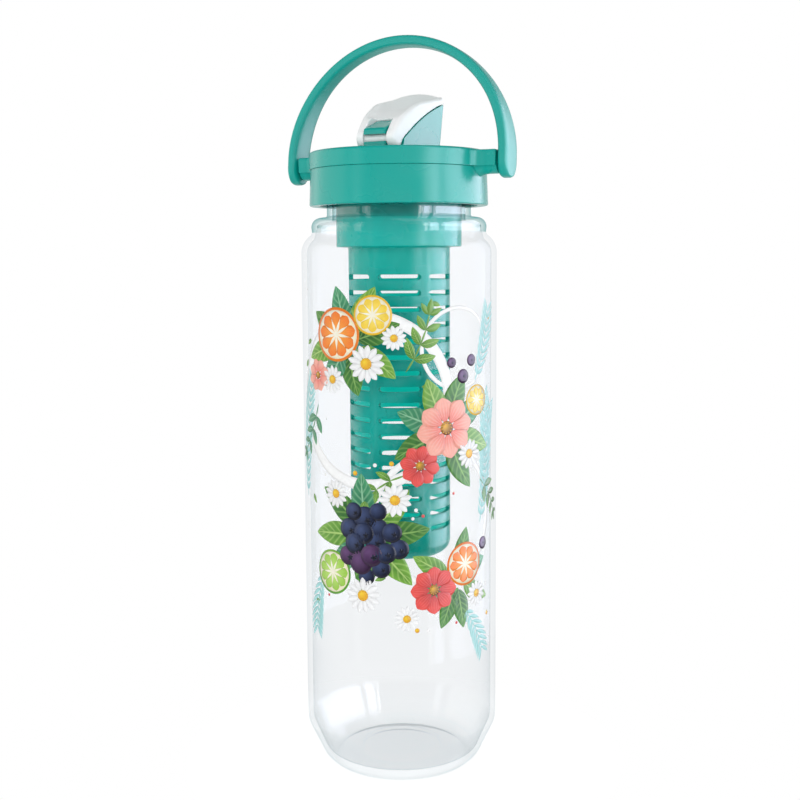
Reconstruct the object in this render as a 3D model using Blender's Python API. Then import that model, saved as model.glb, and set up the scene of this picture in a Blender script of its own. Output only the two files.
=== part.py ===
"""Tea infuser bottle: clear body, screw lid with a flip spout, hoop handle and a slotted infuser.

Metres, +Z up. The origin is the centre of the base, on the plane that the bottle stands on.
The handle turns about an axis along X. The spout points to +Y and its cap is hinged at -Y.
"""

import math

import bmesh
import bpy

MM = 0.001

# Clearances
GAP = 0.3 * MM              # between pieces that seat on each other
SWING_GAP = 0.4 * MM        # between the flip cap and what it swings past

# Clear bottle
BODY_RADIUS = 36.5 * MM
BODY_WALL = 2.0 * MM
BASE_INSET = 6.2 * MM       # chamfer's foot, inside the wall
BASE_EDGE_HEIGHT = 3.6 * MM
CHAMFER_TOP = 15.4 * MM
CHAMFER_EASING = 1.6 * MM
REST_INSET = 2.7 * MM       # rest ring, inside the chamfer's foot
REST_WIDTH = 2.4 * MM
PUNT_HEIGHT = 2.0 * MM      # how far the underside is raised inside the rest ring
PUNT_RADIUS = 15.5 * MM     # the disc in the middle, raised a little more
PUNT_STEP = 0.9 * MM
SHOULDER_DROP = 28.0 * MM   # top of the straight wall, below the neck's top
SHOULDER_RADIUS = 8.0 * MM
SHOULDER_SWEEP = 57.0       # degrees of the shoulder's arc
GROOVE_HEIGHT = 7.8 * MM    # the small groove, above the shoulder's start
GROOVE_DEPTH = 0.2 * MM
CROWN_HEIGHT = 9.6 * MM     # centre of the arc above the groove
CROWN_RADIUS = 3.4 * MM
CROWN_OFFSET = 2.4 * MM     # centre of that arc, outside the neck
CROWN_DIP = 12.0            # degrees of that arc below and above its centre
CROWN_TURN = 84.0
NECK_RADIUS = 26.7 * MM
NECK_TOP = 221.4 * MM
NECK_FOOT = 1.5 * MM        # height of the fillet at the neck's foot
NECK_LIP = 0.5 * MM

# Screw lid
SEAL_THICKNESS = 1.9 * MM
THREAD_ROOM = 2.5 * MM      # neck to the screw collar's bore
COLLAR_WALL = 3.3 * MM
COLLAR_FLARE = 0.6 * MM     # thicker at the bottom
COLLAR_HEIGHT = 13.0 * MM
COLLAR_EDGE = 0.5 * MM
SPIGOT_DEPTH = 4.4 * MM     # how far the top shell reaches into the screw collar
SPIGOT_WALL = 2.0 * MM
BAND_OVERHANG = 0.5 * MM    # the top shell's band stands proud of the collar
BAND_HEIGHT = 6.3 * MM
BAND_EDGE = 1.2 * MM
DECK_THICKNESS = 3.2 * MM
PLUG_DEPTH = 13.4 * MM      # the ring under the lid that carries the infuser
PLUG_WALL = 2.0 * MM

# Ears and handle
EAR_LENGTH = 7.2 * MM       # out from the band
EAR_ROOT = 4.0 * MM         # in from the band
EAR_HALF_WIDTH = 5.0 * MM
EAR_TOP_DROP = 0.6 * MM     # below the deck
EAR_EDGE = 0.8 * MM
EAR_FILLET = 5.0 * MM       # radius where the ear's sides run into the band
EAR_FILLET_START = -150.0   # degrees of that arc, from just outside the band to the ear's side
PIVOT_DROP = 4.6 * MM       # handle axis, below the deck
BOSS_RADIUS = 4.4 * MM
BORE_RADIUS = 2.9 * MM
BORE_DEPTH = 3.8 * MM
HANDLE_GAP = 0.7 * MM       # ear to arm
ARM_THICKNESS = 4.0 * MM
CROWN_THICKNESS = 3.7 * MM
ARM_WIDTH = 12.0 * MM
CROWN_WIDTH = 7.8 * MM
HANDLE_REACH = 47.0 * MM    # pivot to the top of the hoop
HANDLE_LEAN = 4.5           # degrees from upright, towards the spout's mouth

# Flip cap and spout
HINGE_Y = -16.2 * MM
HINGE_HEIGHT = 3.8 * MM     # above the deck
LOBE_RADIUS = 3.4 * MM      # round end of the cap's two arms
HALF_WIDTH = 8.0 * MM       # of cap and spout at the hinge
HALF_TAPER = 0.12           # half-width gained per length towards the mouth
CAP_LENGTH = 31.9 * MM      # hinge to tip
CAP_FOOT_RISE = 2.8 * MM    # height that the cap's top gains at once, over its arms' round ends
CAP_FOOT_LENGTH = 1.5 * MM
CAP_RISE = 0.53             # slope of the cap's top from there to the brow
CAP_FALL = 0.25             # slope from the brow to the tip
CAP_BROW = 14.0 * MM        # hinge to brow
CAP_BROW_EASE = 1.5 * MM
CAP_SKIN = 1.9 * MM
CAP_EDGE = 1.6 * MM         # how far the ridges are eased at the cap's sides
CAP_CORNER = 0.7 * MM
CAP_TIP = ((0.3 * MM, 0.0), (0.0, 0.15), (0.0, 0.6), (0.3 * MM, 0.9))  # setback, share of the height
CREST = 0.80                # where the ridges run, as a share of the half-width
DISH_DEPTH = 2.1 * MM       # thumb dish between the cap's two ridges
DISH_START = 1.9 * MM
DISH_RUN = 0.19             # share of the cap's length
LIP_RISE = 1.8 * MM         # the lip's middle, above the ridges at the tip
LIP_START = 0.47            # shares of the cap's length
LIP_RUN = 0.5
SPOUT_START = -2.78 * MM    # spout's top edge: height = start + slope s - s^2 / bend
SPOUT_SLOPE = 0.81
SPOUT_BEND = 123.5 * MM     # the larger, the straighter
SPOUT_WALL = 2.0 * MM
SPOUT_BACK_LEAN = 3.4 * MM  # how much shorter the spout is at the deck
SPOUT_CORNER = 1.5 * MM
SPOUT_ROUNDING = 0.26       # share of the half-width that the corner takes
KNUCKLE_HALF = 4.0 * MM
KNUCKLE_RADIUS = 6.4 * MM
KNUCKLE_FRONT = 3.4 * MM    # its upright front, ahead of the hinge
KNUCKLE_NOSE = 3.3 * MM     # height of the front over the hinge
KNUCKLE_EASE = 0.8 * MM
KNUCKLE_TURN = 73.0         # degrees of its round top, where the slope from the front meets it
BAR_RADIUS = 1.6 * MM
BAR_ROOT = 0.6 * MM         # how far the bar runs into each arm
BAR_MOUTH = 2.6 * MM        # height of the snap groove's opening
MOUTH_SHARE = 0.66          # hinge to drinking hole, as a share of the cap's length
MOUTH_RADIUS = 4.4 * MM
MOUTH_WALL = 1.3 * MM
MOUTH_RISE = 0.9 * MM
PLUG_SEAL_THICKNESS = 0.8 * MM
PLUG_SEAL_REACH = 1.2 * MM

# Infuser
INFUSER_ROOM = 1.4 * MM     # bottle's neck to the infuser collar
INFUSER_COLLAR_WALL = 1.7 * MM
INFUSER_COLLAR_EDGE = 0.4 * MM
INFUSER_SEAL_THICKNESS = 1.0 * MM
BASKET_HEADROOM = 5.2 * MM  # lid's plug to the basket's head, inside the collar
BASKET_HEAD_HEIGHT = 9.6 * MM
BASKET_STEP = 2.4 * MM      # the basket is narrower than its head
BASKET_WALL = 1.6 * MM
BASKET_LENGTH = 125.0 * MM
BASKET_CORNER = 5.0 * MM
SLOT_COLUMNS = 6
SLOT_ANGLE = 49.0           # degrees
SLOT_HEIGHT = 1.9 * MM
SLOT_PITCH = 5.8 * MM
SLOT_FIRST = 19.6 * MM      # top of the first row, below the basket's own top
SLOT_LAST = 1.5 * MM        # least rail under the last row
SLOT_TURN = 64.0            # turns one column of slots towards the front right
DRAIN_INNER = 5.0 * MM
DRAIN_OUTER = 11.5 * MM

# Facets
ROUND_STEPS = 44
SMALL_STEPS = 24
SWEEP_STEPS = 32
BAR_STEPS = 20
HANDLE_SIDES = 14
HANDLE_STEPS = 13           # along each quarter of the hoop
SLOT_FACETS = 3             # facets across one slot, with one more for each rail

# Sizes and heights that follow from the ones above
BASE_RADIUS = BODY_RADIUS - BASE_INSET
REST_RING_OUTER = BASE_RADIUS - REST_INSET
REST_RING_INNER = REST_RING_OUTER - REST_WIDTH
SHOULDER_START = NECK_TOP - SHOULDER_DROP
NECK_BORE = NECK_RADIUS - BODY_WALL
LID_SEAT = NECK_TOP + GAP + SEAL_THICKNESS + GAP
DECK = LID_SEAT + BAND_HEIGHT
COLLAR_TOP = LID_SEAT - GAP
COLLAR_BORE = NECK_RADIUS + THREAD_ROOM
COLLAR_RADIUS_TOP = COLLAR_BORE + COLLAR_WALL
COLLAR_RADIUS_BOTTOM = COLLAR_RADIUS_TOP + COLLAR_FLARE
BAND_RADIUS = COLLAR_RADIUS_TOP + BAND_OVERHANG
SPIGOT_INNER = COLLAR_BORE - GAP
SPIGOT_OUTER = SPIGOT_INNER + SPIGOT_WALL
SEAL_OUTER = SPIGOT_INNER - GAP
SEAL_INNER = NECK_BORE + GAP
EAR_END = BAND_RADIUS + EAR_LENGTH
PIVOT_Z = DECK - PIVOT_DROP
ARM_INNER = EAR_END + HANDLE_GAP
ARM_OUTER = ARM_INNER + ARM_THICKNESS
HINGE_Z = DECK + HINGE_HEIGHT
MOUTH_DISTANCE = MOUTH_SHARE * CAP_LENGTH
MOUTH_RIM = MOUTH_RADIUS + MOUTH_WALL
INFUSER_COLLAR_RADIUS = NECK_BORE - INFUSER_ROOM
INFUSER_BORE = INFUSER_COLLAR_RADIUS - INFUSER_COLLAR_WALL
INFUSER_TOP = LID_SEAT - GAP - INFUSER_SEAL_THICKNESS - GAP
PLUG_OUTER = INFUSER_BORE - GAP
BASKET_TOP = LID_SEAT - PLUG_DEPTH - BASKET_HEADROOM
BASKET_BOTTOM = BASKET_TOP - BASKET_LENGTH
BASKET_RADIUS = PLUG_OUTER - BASKET_STEP
INFUSER_BOTTOM = BASKET_TOP - BASKET_HEAD_HEIGHT
SLOT_ROOM = BASKET_LENGTH - SLOT_FIRST - SLOT_HEIGHT - SLOT_LAST - BASKET_CORNER
SLOT_ROWS = int(SLOT_ROOM / SLOT_PITCH) + 1

TEAL = (0.016, 0.392, 0.341, 1.0)
WHITE = (0.80, 0.82, 0.82, 1.0)
CLEAR = (0.93, 0.96, 0.97, 0.25)
SILICONE = (0.72, 0.76, 0.76, 1.0)


def clear_scene():
    """Start from an empty scene."""
    for thing in list(bpy.data.objects):
        bpy.data.objects.remove(thing, do_unlink=True)


def make_material(name, colour, roughness):
    """A Principled material with the piece's colour and roughness."""
    material = bpy.data.materials.new(name)
    material.use_nodes = True
    shader = material.node_tree.nodes["Principled BSDF"]
    shader.inputs["Base Color"].default_value = colour
    shader.inputs["Roughness"].default_value = roughness
    shader.inputs["Metallic"].default_value = 0.0
    shader.inputs["Alpha"].default_value = colour[3]
    material.diffuse_color = colour
    return material


def finish_mesh(name, bm, material=None):
    """Turn a bmesh into an object with faces pointing out."""
    bmesh.ops.recalc_face_normals(bm, faces=bm.faces)
    mesh = bpy.data.meshes.new(name)
    bm.to_mesh(mesh)
    bm.free()
    mesh.shade_smooth()
    mesh.set_sharp_from_angle(angle=math.radians(35.0))
    thing = bpy.data.objects.new(name, mesh)
    bpy.context.scene.collection.objects.link(thing)
    if material:
        mesh.materials.append(material)
    return thing


def arc(centre, radius, start, end, steps):
    """Points of an arc in a plane, from start to end in degrees."""
    points = []
    for step in range(steps + 1):
        angle = math.radians(start + (end - start) * step / steps)
        points.append((centre[0] + radius * math.cos(angle), centre[1] + radius * math.sin(angle)))
    return points


def turned(name, outline, steps, material=None):
    """Turn a closed outline of (radius, height) points about the Z axis."""
    bm = bmesh.new()
    rings = []
    for radius, height in outline:
        if radius < 1e-7:
            rings.append([bm.verts.new((0.0, 0.0, height))])
            continue
        ring = []
        for step in range(steps):
            angle = 2.0 * math.pi * step / steps
            ring.append(bm.verts.new((radius * math.cos(angle), radius * math.sin(angle), height)))
        rings.append(ring)
    for ring, following in zip(rings, rings[1:] + rings[:1]):
        if len(ring) == 1 and len(following) == 1:
            continue
        for step in range(steps):
            after = (step + 1) % steps
            if len(ring) == 1:
                bm.faces.new((ring[0], following[after], following[step]))
            elif len(following) == 1:
                bm.faces.new((ring[step], ring[after], following[0]))
            else:
                bm.faces.new((ring[step], ring[after], following[after], following[step]))
    return finish_mesh(name, bm, material)


def loft(name, sections, material=None):
    """Join closed sections of equal length and fill both ends."""
    bm = bmesh.new()
    rings = [[bm.verts.new(point) for point in section] for section in sections]
    for ring, following in zip(rings, rings[1:]):
        for i in range(len(ring)):
            j = (i + 1) % len(ring)
            bm.faces.new((ring[i], ring[j], following[j], following[i]))
    bm.faces.new(list(reversed(rings[0])))
    bm.faces.new(rings[-1])
    return finish_mesh(name, bm, material)


def rod(name, start, end, radius, steps=SMALL_STEPS):
    """A cylinder between two points; a guide or a tool for a Boolean."""
    bm = bmesh.new()
    along = [b - a for a, b in zip(start, end)]
    length = math.sqrt(sum(value * value for value in along))
    direction = [value / length for value in along]
    helper = (0.0, 0.0, 1.0) if abs(direction[2]) < 0.9 else (1.0, 0.0, 0.0)
    side = cross(direction, helper)
    size = math.sqrt(sum(value * value for value in side))
    side = [value / size for value in side]
    other = cross(direction, side)
    rings = []
    for base in (start, end):
        ring = []
        for step in range(steps):
            angle = 2.0 * math.pi * step / steps
            ring.append(bm.verts.new([
                base[i] + radius * (math.cos(angle) * side[i] + math.sin(angle) * other[i])
                for i in range(3)
            ]))
        rings.append(ring)
    for i in range(steps):
        j = (i + 1) % steps
        bm.faces.new((rings[0][i], rings[0][j], rings[1][j], rings[1][i]))
    bm.faces.new(list(reversed(rings[0])))
    bm.faces.new(rings[1])
    return finish_mesh(name, bm)


def cross(a, b):
    """Cross product of two vectors."""
    return [a[1] * b[2] - a[2] * b[1], a[2] * b[0] - a[0] * b[2], a[0] * b[1] - a[1] * b[0]]


def block(name, low, high):
    """A box between two corners."""
    bottom = [(low[0], low[1]), (high[0], low[1]), (high[0], high[1]), (low[0], high[1])]
    return loft(name, [[(x, y, z) for x, y in bottom] for z in (low[2], high[2])])


def combine(target, tool, operation):
    """Join or cut with a Boolean, and keep the tool as a hidden guide."""
    modifier = target.modifiers.new(f"{operation.lower()} {tool.name}", "BOOLEAN")
    modifier.operation = operation
    modifier.solver = "EXACT"
    modifier.object = tool
    tool.hide_render = True
    tool.display_type = "WIRE"


def smooth_step(value):
    """Ease from 0 to 1."""
    value = min(max(value, 0.0), 1.0)
    return value * value * (3.0 - 2.0 * value)


def make_bottle(material):
    """Clear body: chamfered base with a punt, straight wall, stepped shoulder and neck."""
    shoulder = (BODY_RADIUS - SHOULDER_RADIUS, SHOULDER_START)
    crown = (NECK_RADIUS + CROWN_OFFSET, SHOULDER_START + CROWN_HEIGHT)
    crown_top = crown[1] + CROWN_RADIUS
    groove = (crown[0] + CROWN_RADIUS - GROOVE_DEPTH, SHOULDER_START + GROOVE_HEIGHT)
    outside = [
        (0.0, PUNT_HEIGHT + PUNT_STEP),
        (PUNT_RADIUS - PUNT_STEP, PUNT_HEIGHT + PUNT_STEP),
        (PUNT_RADIUS, PUNT_HEIGHT),
        (REST_RING_INNER - PUNT_HEIGHT, PUNT_HEIGHT),
        (REST_RING_INNER, 0.0),
        (REST_RING_OUTER, 0.0),
    ]
    for x, y in arc((0.0, 0.0), 1.0, -60.0, 0.0, 2):
        outside.append((REST_RING_OUTER + REST_INSET * x, BASE_EDGE_HEIGHT * (1.0 + y)))
    outside += [
        (BODY_RADIUS - CHAMFER_EASING * 0.55, CHAMFER_TOP - CHAMFER_EASING),
        (BODY_RADIUS, CHAMFER_TOP + CHAMFER_EASING),
    ]
    outside += arc(shoulder, SHOULDER_RADIUS, 0.0, SHOULDER_SWEEP, 4)
    outside.append(groove)
    outside += arc(crown, CROWN_RADIUS, -CROWN_DIP, CROWN_TURN, 4)
    outside += [
        (NECK_RADIUS, crown_top + NECK_FOOT),
        (NECK_RADIUS, NECK_TOP - NECK_LIP),
        (NECK_RADIUS - NECK_LIP, NECK_TOP),
    ]
    inside = [
        (NECK_BORE + NECK_LIP, NECK_TOP),
        (NECK_BORE, NECK_TOP - NECK_LIP),
        (NECK_BORE, crown_top + NECK_FOOT - BODY_WALL),
    ]
    inside += arc(crown, CROWN_RADIUS - BODY_WALL, CROWN_TURN, -CROWN_DIP, 2)
    inside.append((groove[0] - BODY_WALL * 0.9, groove[1]))
    inside += arc(shoulder, SHOULDER_RADIUS - BODY_WALL, SHOULDER_SWEEP, 0.0, 3)
    floor = PUNT_HEIGHT + BODY_WALL
    inside_base = BASE_RADIUS - BODY_WALL
    inside += [
        (BODY_RADIUS - BODY_WALL, CHAMFER_TOP + CHAMFER_EASING),
        (BODY_RADIUS - BODY_WALL - CHAMFER_EASING * 0.7, CHAMFER_TOP - CHAMFER_EASING * 0.4),
        (inside_base + 0.2 * BASE_EDGE_HEIGHT, floor + 0.6 * BASE_EDGE_HEIGHT),
        (inside_base - 0.6 * BASE_EDGE_HEIGHT, floor),
        (PUNT_RADIUS, floor),
        (0.0, floor + PUNT_STEP),
    ]
    return turned("bottle_body", outside + inside, ROUND_STEPS, material)


def make_ring(name, inner, outer, low, high, material, edge=0.0):
    """A flat ring, with its outer edges eased when edge is set."""
    outline = [(inner, low), (outer - edge, low)]
    if edge:
        outline += [(outer, low + edge), (outer, high - edge)]
    outline += [(outer - edge, high), (inner, high)]
    return turned(name, outline, ROUND_STEPS, material)


def make_screw_collar(material):
    """Lower lid band: grips the neck's thread and takes the top shell's spigot."""
    bottom = COLLAR_TOP - COLLAR_HEIGHT
    step_height = LID_SEAT - SPIGOT_DEPTH - GAP
    outline = [
        (COLLAR_BORE, bottom),
        (COLLAR_RADIUS_BOTTOM - COLLAR_EDGE, bottom),
        (COLLAR_RADIUS_BOTTOM, bottom + COLLAR_EDGE),
        (COLLAR_RADIUS_TOP, COLLAR_TOP - COLLAR_EDGE),
        (COLLAR_RADIUS_TOP - COLLAR_EDGE * 0.6, COLLAR_TOP),
        (SPIGOT_OUTER + GAP, COLLAR_TOP),
        (SPIGOT_OUTER + GAP, step_height),
        (COLLAR_BORE, step_height),
    ]
    return turned("screw_collar", outline, ROUND_STEPS, material)


def spout_edge(s):
    """Height of the spout's top edge over the hinge, s metres behind the hinge."""
    return SPOUT_START + SPOUT_SLOPE * s - s * s / SPOUT_BEND


def cap_bottom(s):
    """Lower edge of the cap: round arm ends, then the line along the spout."""
    edge = spout_edge(s)
    if abs(s) < LOBE_RADIUS:
        edge = min(edge, -math.sqrt(LOBE_RADIUS ** 2 - s * s))
    return edge if s > 0.0 else -math.sqrt(max(LOBE_RADIUS ** 2 - s * s, 0.0))


def cap_ridge(s):
    """Height of the cap's two side ridges over the hinge."""
    if s < 0.0:
        return math.sqrt(max(LOBE_RADIUS ** 2 - s * s, 0.0))
    foot = CAP_FOOT_RISE * (1.0 - math.exp(-s / CAP_FOOT_LENGTH))
    past_brow = CAP_BROW_EASE * math.log(1.0 + math.exp((s - CAP_BROW) / CAP_BROW_EASE))
    return LOBE_RADIUS + foot + CAP_RISE * s - (CAP_RISE - CAP_FALL) * past_brow


def cap_top(s, across):
    """Height of the cap's top; across runs from -1 to 1 between the sides."""
    dish = DISH_DEPTH * smooth_step((s - DISH_START) / (DISH_RUN * CAP_LENGTH))
    lip = (DISH_DEPTH + LIP_RISE) * smooth_step((s / CAP_LENGTH - LIP_START) / LIP_RUN)
    share = abs(across) / CREST
    hollow = 1.0 - share ** 4 if share < 1.0 else 0.0
    rounding = CAP_EDGE * (max(abs(across) - CREST, 0.0) / (1.0 - CREST)) ** 2
    return cap_ridge(s) - (dish - lip) * hollow - rounding * min(s / LOBE_RADIUS + 1.0, 1.0)


def at_hinge(s, height, across):
    """A point given by its place behind, over and across the hinge."""
    return (across * (HALF_WIDTH + HALF_TAPER * s), HINGE_Y + s, HINGE_Z + height)


def make_flip_cap(material):
    """White cap: two arms with a snap bar, a dished top and a lip to push open."""
    stations = [-0.97, -0.85, -0.6, -0.3, 0.0, 0.3, 0.6, 0.85, 0.97]
    fore = [LOBE_RADIUS * value for value in stations]
    after = [LOBE_RADIUS + (CAP_LENGTH - LOBE_RADIUS) * value
             for value in (0.003, 0.03, 0.09, 0.16, 0.25, 0.36, 0.48, 0.6, 0.71, 0.81, 0.9, 0.96)]
    spread = [0.0, 0.4, 0.65, CREST, 0.88, 0.95, 1.0]
    sections = []
    for across in [-value for value in reversed(spread)] + spread[1:]:
        corner = CAP_CORNER * max(abs(across) - CREST, 0.0) / (1.0 - CREST)
        end = CAP_LENGTH - corner
        top = cap_top(end, across)
        low = cap_bottom(end)
        line = [(s, cap_bottom(s)) for s in fore + after]
        for back, share in CAP_TIP:
            line.append((end - back, low + share * (top - low)))
        line += [(s, cap_top(s, across)) for s in reversed(fore + after)]
        sections.append([at_hinge(s, height, across) for s, height in line])
    cap = loft("flip_cap", sections, material)

    room_start = KNUCKLE_RADIUS + SWING_GAP + CAP_SKIN
    room_end = CAP_LENGTH - 1.4 * CAP_SKIN
    room_half = 1.0 - 1.2 * CAP_SKIN / HALF_WIDTH
    places = [room_start + (room_end - room_start) * i / 6 for i in range(7)]
    sections = []
    for share in (-1.0, -0.8, -0.4, 0.0, 0.4, 0.8, 1.0):
        across = room_half * share
        line = [(s, cap_bottom(s) - CAP_SKIN) for s in places]
        line += [(s, cap_top(s, across) - CAP_SKIN) for s in reversed(places)]
        sections.append([at_hinge(s, height, across) for s, height in line])
    combine(cap, loft("guide_cap_room", sections), "DIFFERENCE")

    notch = KNUCKLE_HALF + SWING_GAP
    sweep = KNUCKLE_RADIUS + SWING_GAP
    combine(cap, hinge_rod("guide_cap_notch", notch, sweep, SWEEP_STEPS), "DIFFERENCE")
    combine(cap, hinge_rod("guide_cap_bar", notch + BAR_ROOT, BAR_RADIUS, BAR_STEPS), "UNION")
    seat = MOUTH_RISE + GAP + PLUG_SEAL_THICKNESS + GAP
    combine(cap, mouth_rod("guide_seal_pocket", -MOUTH_RISE, seat, MOUTH_RIM + GAP), "DIFFERENCE")
    return cap


def hinge_rod(name, half, radius, steps):
    """A cylinder on the cap's hinge axis."""
    return rod(name, (-half, HINGE_Y, HINGE_Z), (half, HINGE_Y, HINGE_Z), radius, steps)


def mouth_height():
    """Height of the drinking hole's middle over the hinge, on the spout's top face."""
    return spout_edge(MOUTH_DISTANCE) - SWING_GAP


def mouth_slope():
    """Slope of the line from the hinge to the drinking hole, in radians."""
    return math.atan2(mouth_height(), MOUTH_DISTANCE)


def mouth_point(rise):
    """A point on the drinking hole's axis, above the spout's top face.

    The axis is square to the line from the hinge, so the cap's plug goes in straight.
    """
    behind = MOUTH_DISTANCE - rise * math.sin(mouth_slope())
    return (0.0, HINGE_Y + behind, HINGE_Z + mouth_height() + rise * math.cos(mouth_slope()))


def mouth_rod(name, low, high, radius):
    """A cylinder on the drinking hole's axis."""
    return rod(name, mouth_point(low), mouth_point(high), radius, SMALL_STEPS)


def make_mouth_seal(material):
    """Silicone plug under the cap: a disc over the rim and a nose inside the hole."""
    low = MOUTH_RISE + GAP
    seal = mouth_rod("mouth_seal", low, low + PLUG_SEAL_THICKNESS, MOUTH_RIM)
    seal.data.materials.append(material)
    nose = mouth_rod("guide_seal_nose", low - PLUG_SEAL_REACH, low + 0.5 * PLUG_SEAL_THICKNESS,
                     MOUTH_RADIUS - SWING_GAP)
    combine(seal, nose, "UNION")
    return seal


def spout_sections(shrink, drop, foot, spread):
    """Side outlines of the spout, shrunk by a wall, from one side to the other."""
    first = LOBE_RADIUS * 0.35 + 2.6 * shrink
    sections = []
    for across in spread:
        share = max(abs(across) - 1.0 + SPOUT_ROUNDING, 0.0) / SPOUT_ROUNDING
        corner = 1.0 - math.sqrt(max(1.0 - share * share, 0.0))
        back = CAP_LENGTH + GAP - shrink - SPOUT_CORNER * corner
        base = back - SPOUT_BACK_LEAN
        line = [(first, foot)]
        line += [(first + (back - first) * i / 8, spout_edge(first + (back - first) * i / 8) - drop)
                 for i in range(9)]
        line.append((base, foot))
        section = []
        for s, height in line:
            half = HALF_WIDTH + HALF_TAPER * s - shrink
            section.append((across * half, HINGE_Y + s, HINGE_Z + height))
        sections.append(section)
    return sections


def make_lid_top(material):
    """Upper lid shell: deck, band, ears, spigot, infuser plug, spout and cap knuckle."""
    plug_inner = PLUG_OUTER - PLUG_WALL
    outline = [(0.0, DECK)]
    outline += arc((BAND_RADIUS - BAND_EDGE, DECK - BAND_EDGE), BAND_EDGE, 90.0, 0.0, 3)
    outline += [
        (BAND_RADIUS, LID_SEAT),
        (SPIGOT_OUTER, LID_SEAT),
        (SPIGOT_OUTER, LID_SEAT - SPIGOT_DEPTH),
        (SPIGOT_INNER, LID_SEAT - SPIGOT_DEPTH),
        (SPIGOT_INNER, LID_SEAT),
        (PLUG_OUTER, LID_SEAT),
        (PLUG_OUTER, LID_SEAT - PLUG_DEPTH),
        (plug_inner, LID_SEAT - PLUG_DEPTH),
        (plug_inner, DECK - DECK_THICKNESS),
        (0.0, DECK - DECK_THICKNESS),
    ]
    lid = turned("lid_top", outline, ROUND_STEPS, material)

    for side, word in ((1.0, "right"), (-1.0, "left")):
        combine(lid, make_ear(side, word), "UNION")

    foot = -HINGE_HEIGHT - 0.5 * DECK_THICKNESS
    bend = 1.0 - SPOUT_ROUNDING
    spread = [-1.0, -0.97, -0.9, -bend, 0.0, bend, 0.9, 0.97, 1.0]
    spout = loft("guide_spout", spout_sections(0.0, SWING_GAP, foot, spread))
    sweep = LOBE_RADIUS + SWING_GAP
    combine(spout, hinge_rod("guide_lobe_sweep", 2.0 * HALF_WIDTH, sweep, SWEEP_STEPS), "DIFFERENCE")
    combine(lid, spout, "UNION")
    combine(lid, make_knuckle(), "UNION")
    rim = mouth_rod("guide_mouth_rim", -0.5 * SPOUT_WALL, MOUTH_RISE, MOUTH_RIM)
    combine(lid, rim, "UNION")

    foot = -HINGE_HEIGHT - 2.0 * DECK_THICKNESS
    room = spout_sections(SPOUT_WALL, SWING_GAP + SPOUT_WALL, foot, [-1.0, -0.9, 0.0, 0.9, 1.0])
    combine(lid, loft("guide_spout_room", room), "DIFFERENCE")
    bore = mouth_rod("guide_mouth_bore", -3.0 * SPOUT_WALL, 2.0 * MOUTH_RISE, MOUTH_RADIUS)
    combine(lid, bore, "DIFFERENCE")
    for side, word in ((1.0, "right"), (-1.0, "left")):
        bore = pivot_rod(f"guide_ear_bore_{word}", side, EAR_END - BORE_DEPTH, EAR_END + HANDLE_GAP, BORE_RADIUS)
        combine(lid, bore, "DIFFERENCE")
    return lid


def pivot_rod(name, side, start, end, radius):
    """A cylinder on the handle's axis, on one side."""
    return rod(name, (side * start, 0.0, PIVOT_Z), (side * end, 0.0, PIVOT_Z), radius, BAR_STEPS)


def make_ear(side, word):
    """One ear: a block that flows out of the band, over a round boss for the handle's stud."""
    top = DECK - EAR_TOP_DROP
    fillet_y = EAR_HALF_WIDTH + EAR_FILLET
    fillet_x = math.sqrt((BAND_RADIUS + EAR_FILLET) ** 2 - fillet_y ** 2)
    plan = arc((fillet_x, fillet_y), EAR_FILLET, EAR_FILLET_START, -90.0, 4)
    plan = [(BAND_RADIUS - EAR_ROOT, plan[0][1])] + plan + [(EAR_END, EAR_HALF_WIDTH)]
    sections = []
    for x, half in plan:
        outline = [
            (-half, LID_SEAT), (half, LID_SEAT), (half, top - EAR_EDGE), (half - EAR_EDGE, top),
            (EAR_EDGE - half, top), (-half, top - EAR_EDGE),
        ]
        sections.append([(side * x, y, z) for y, z in outline])
    ear = loft(f"guide_ear_{word}", sections)
    start = COLLAR_RADIUS_BOTTOM + SWING_GAP
    combine(ear, pivot_rod(f"guide_boss_{word}", side, start, EAR_END, BOSS_RADIUS), "UNION")
    return ear


def make_knuckle():
    """Hinge block between the cap's arms, with the snap groove for its bar."""
    foot = -HINGE_HEIGHT - 0.5 * DECK_THICKNESS
    outline = [
        (-KNUCKLE_FRONT, foot),
        (-KNUCKLE_FRONT, KNUCKLE_NOSE - KNUCKLE_EASE),
        (KNUCKLE_EASE - KNUCKLE_FRONT, KNUCKLE_NOSE),
    ]
    outline += arc((0.0, 0.0), KNUCKLE_RADIUS, KNUCKLE_TURN, 0.0, 8)
    outline.append((KNUCKLE_RADIUS, foot))
    knuckle = loft("guide_knuckle", [
        [(x, HINGE_Y + s, HINGE_Z + height) for s, height in outline] for x in (-KNUCKLE_HALF, KNUCKLE_HALF)
    ])
    groove = hinge_rod("guide_bar_groove", 2.0 * KNUCKLE_HALF, BAR_RADIUS + GAP, BAR_STEPS)
    mouth = block(
        "guide_bar_mouth",
        (-2.0 * KNUCKLE_HALF, HINGE_Y - 2.0 * KNUCKLE_FRONT, HINGE_Z - 0.5 * BAR_MOUTH),
        (2.0 * KNUCKLE_HALF, HINGE_Y, HINGE_Z + 0.5 * BAR_MOUTH),
    )
    combine(knuckle, groove, "DIFFERENCE")
    combine(knuckle, mouth, "DIFFERENCE")
    return knuckle


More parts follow.
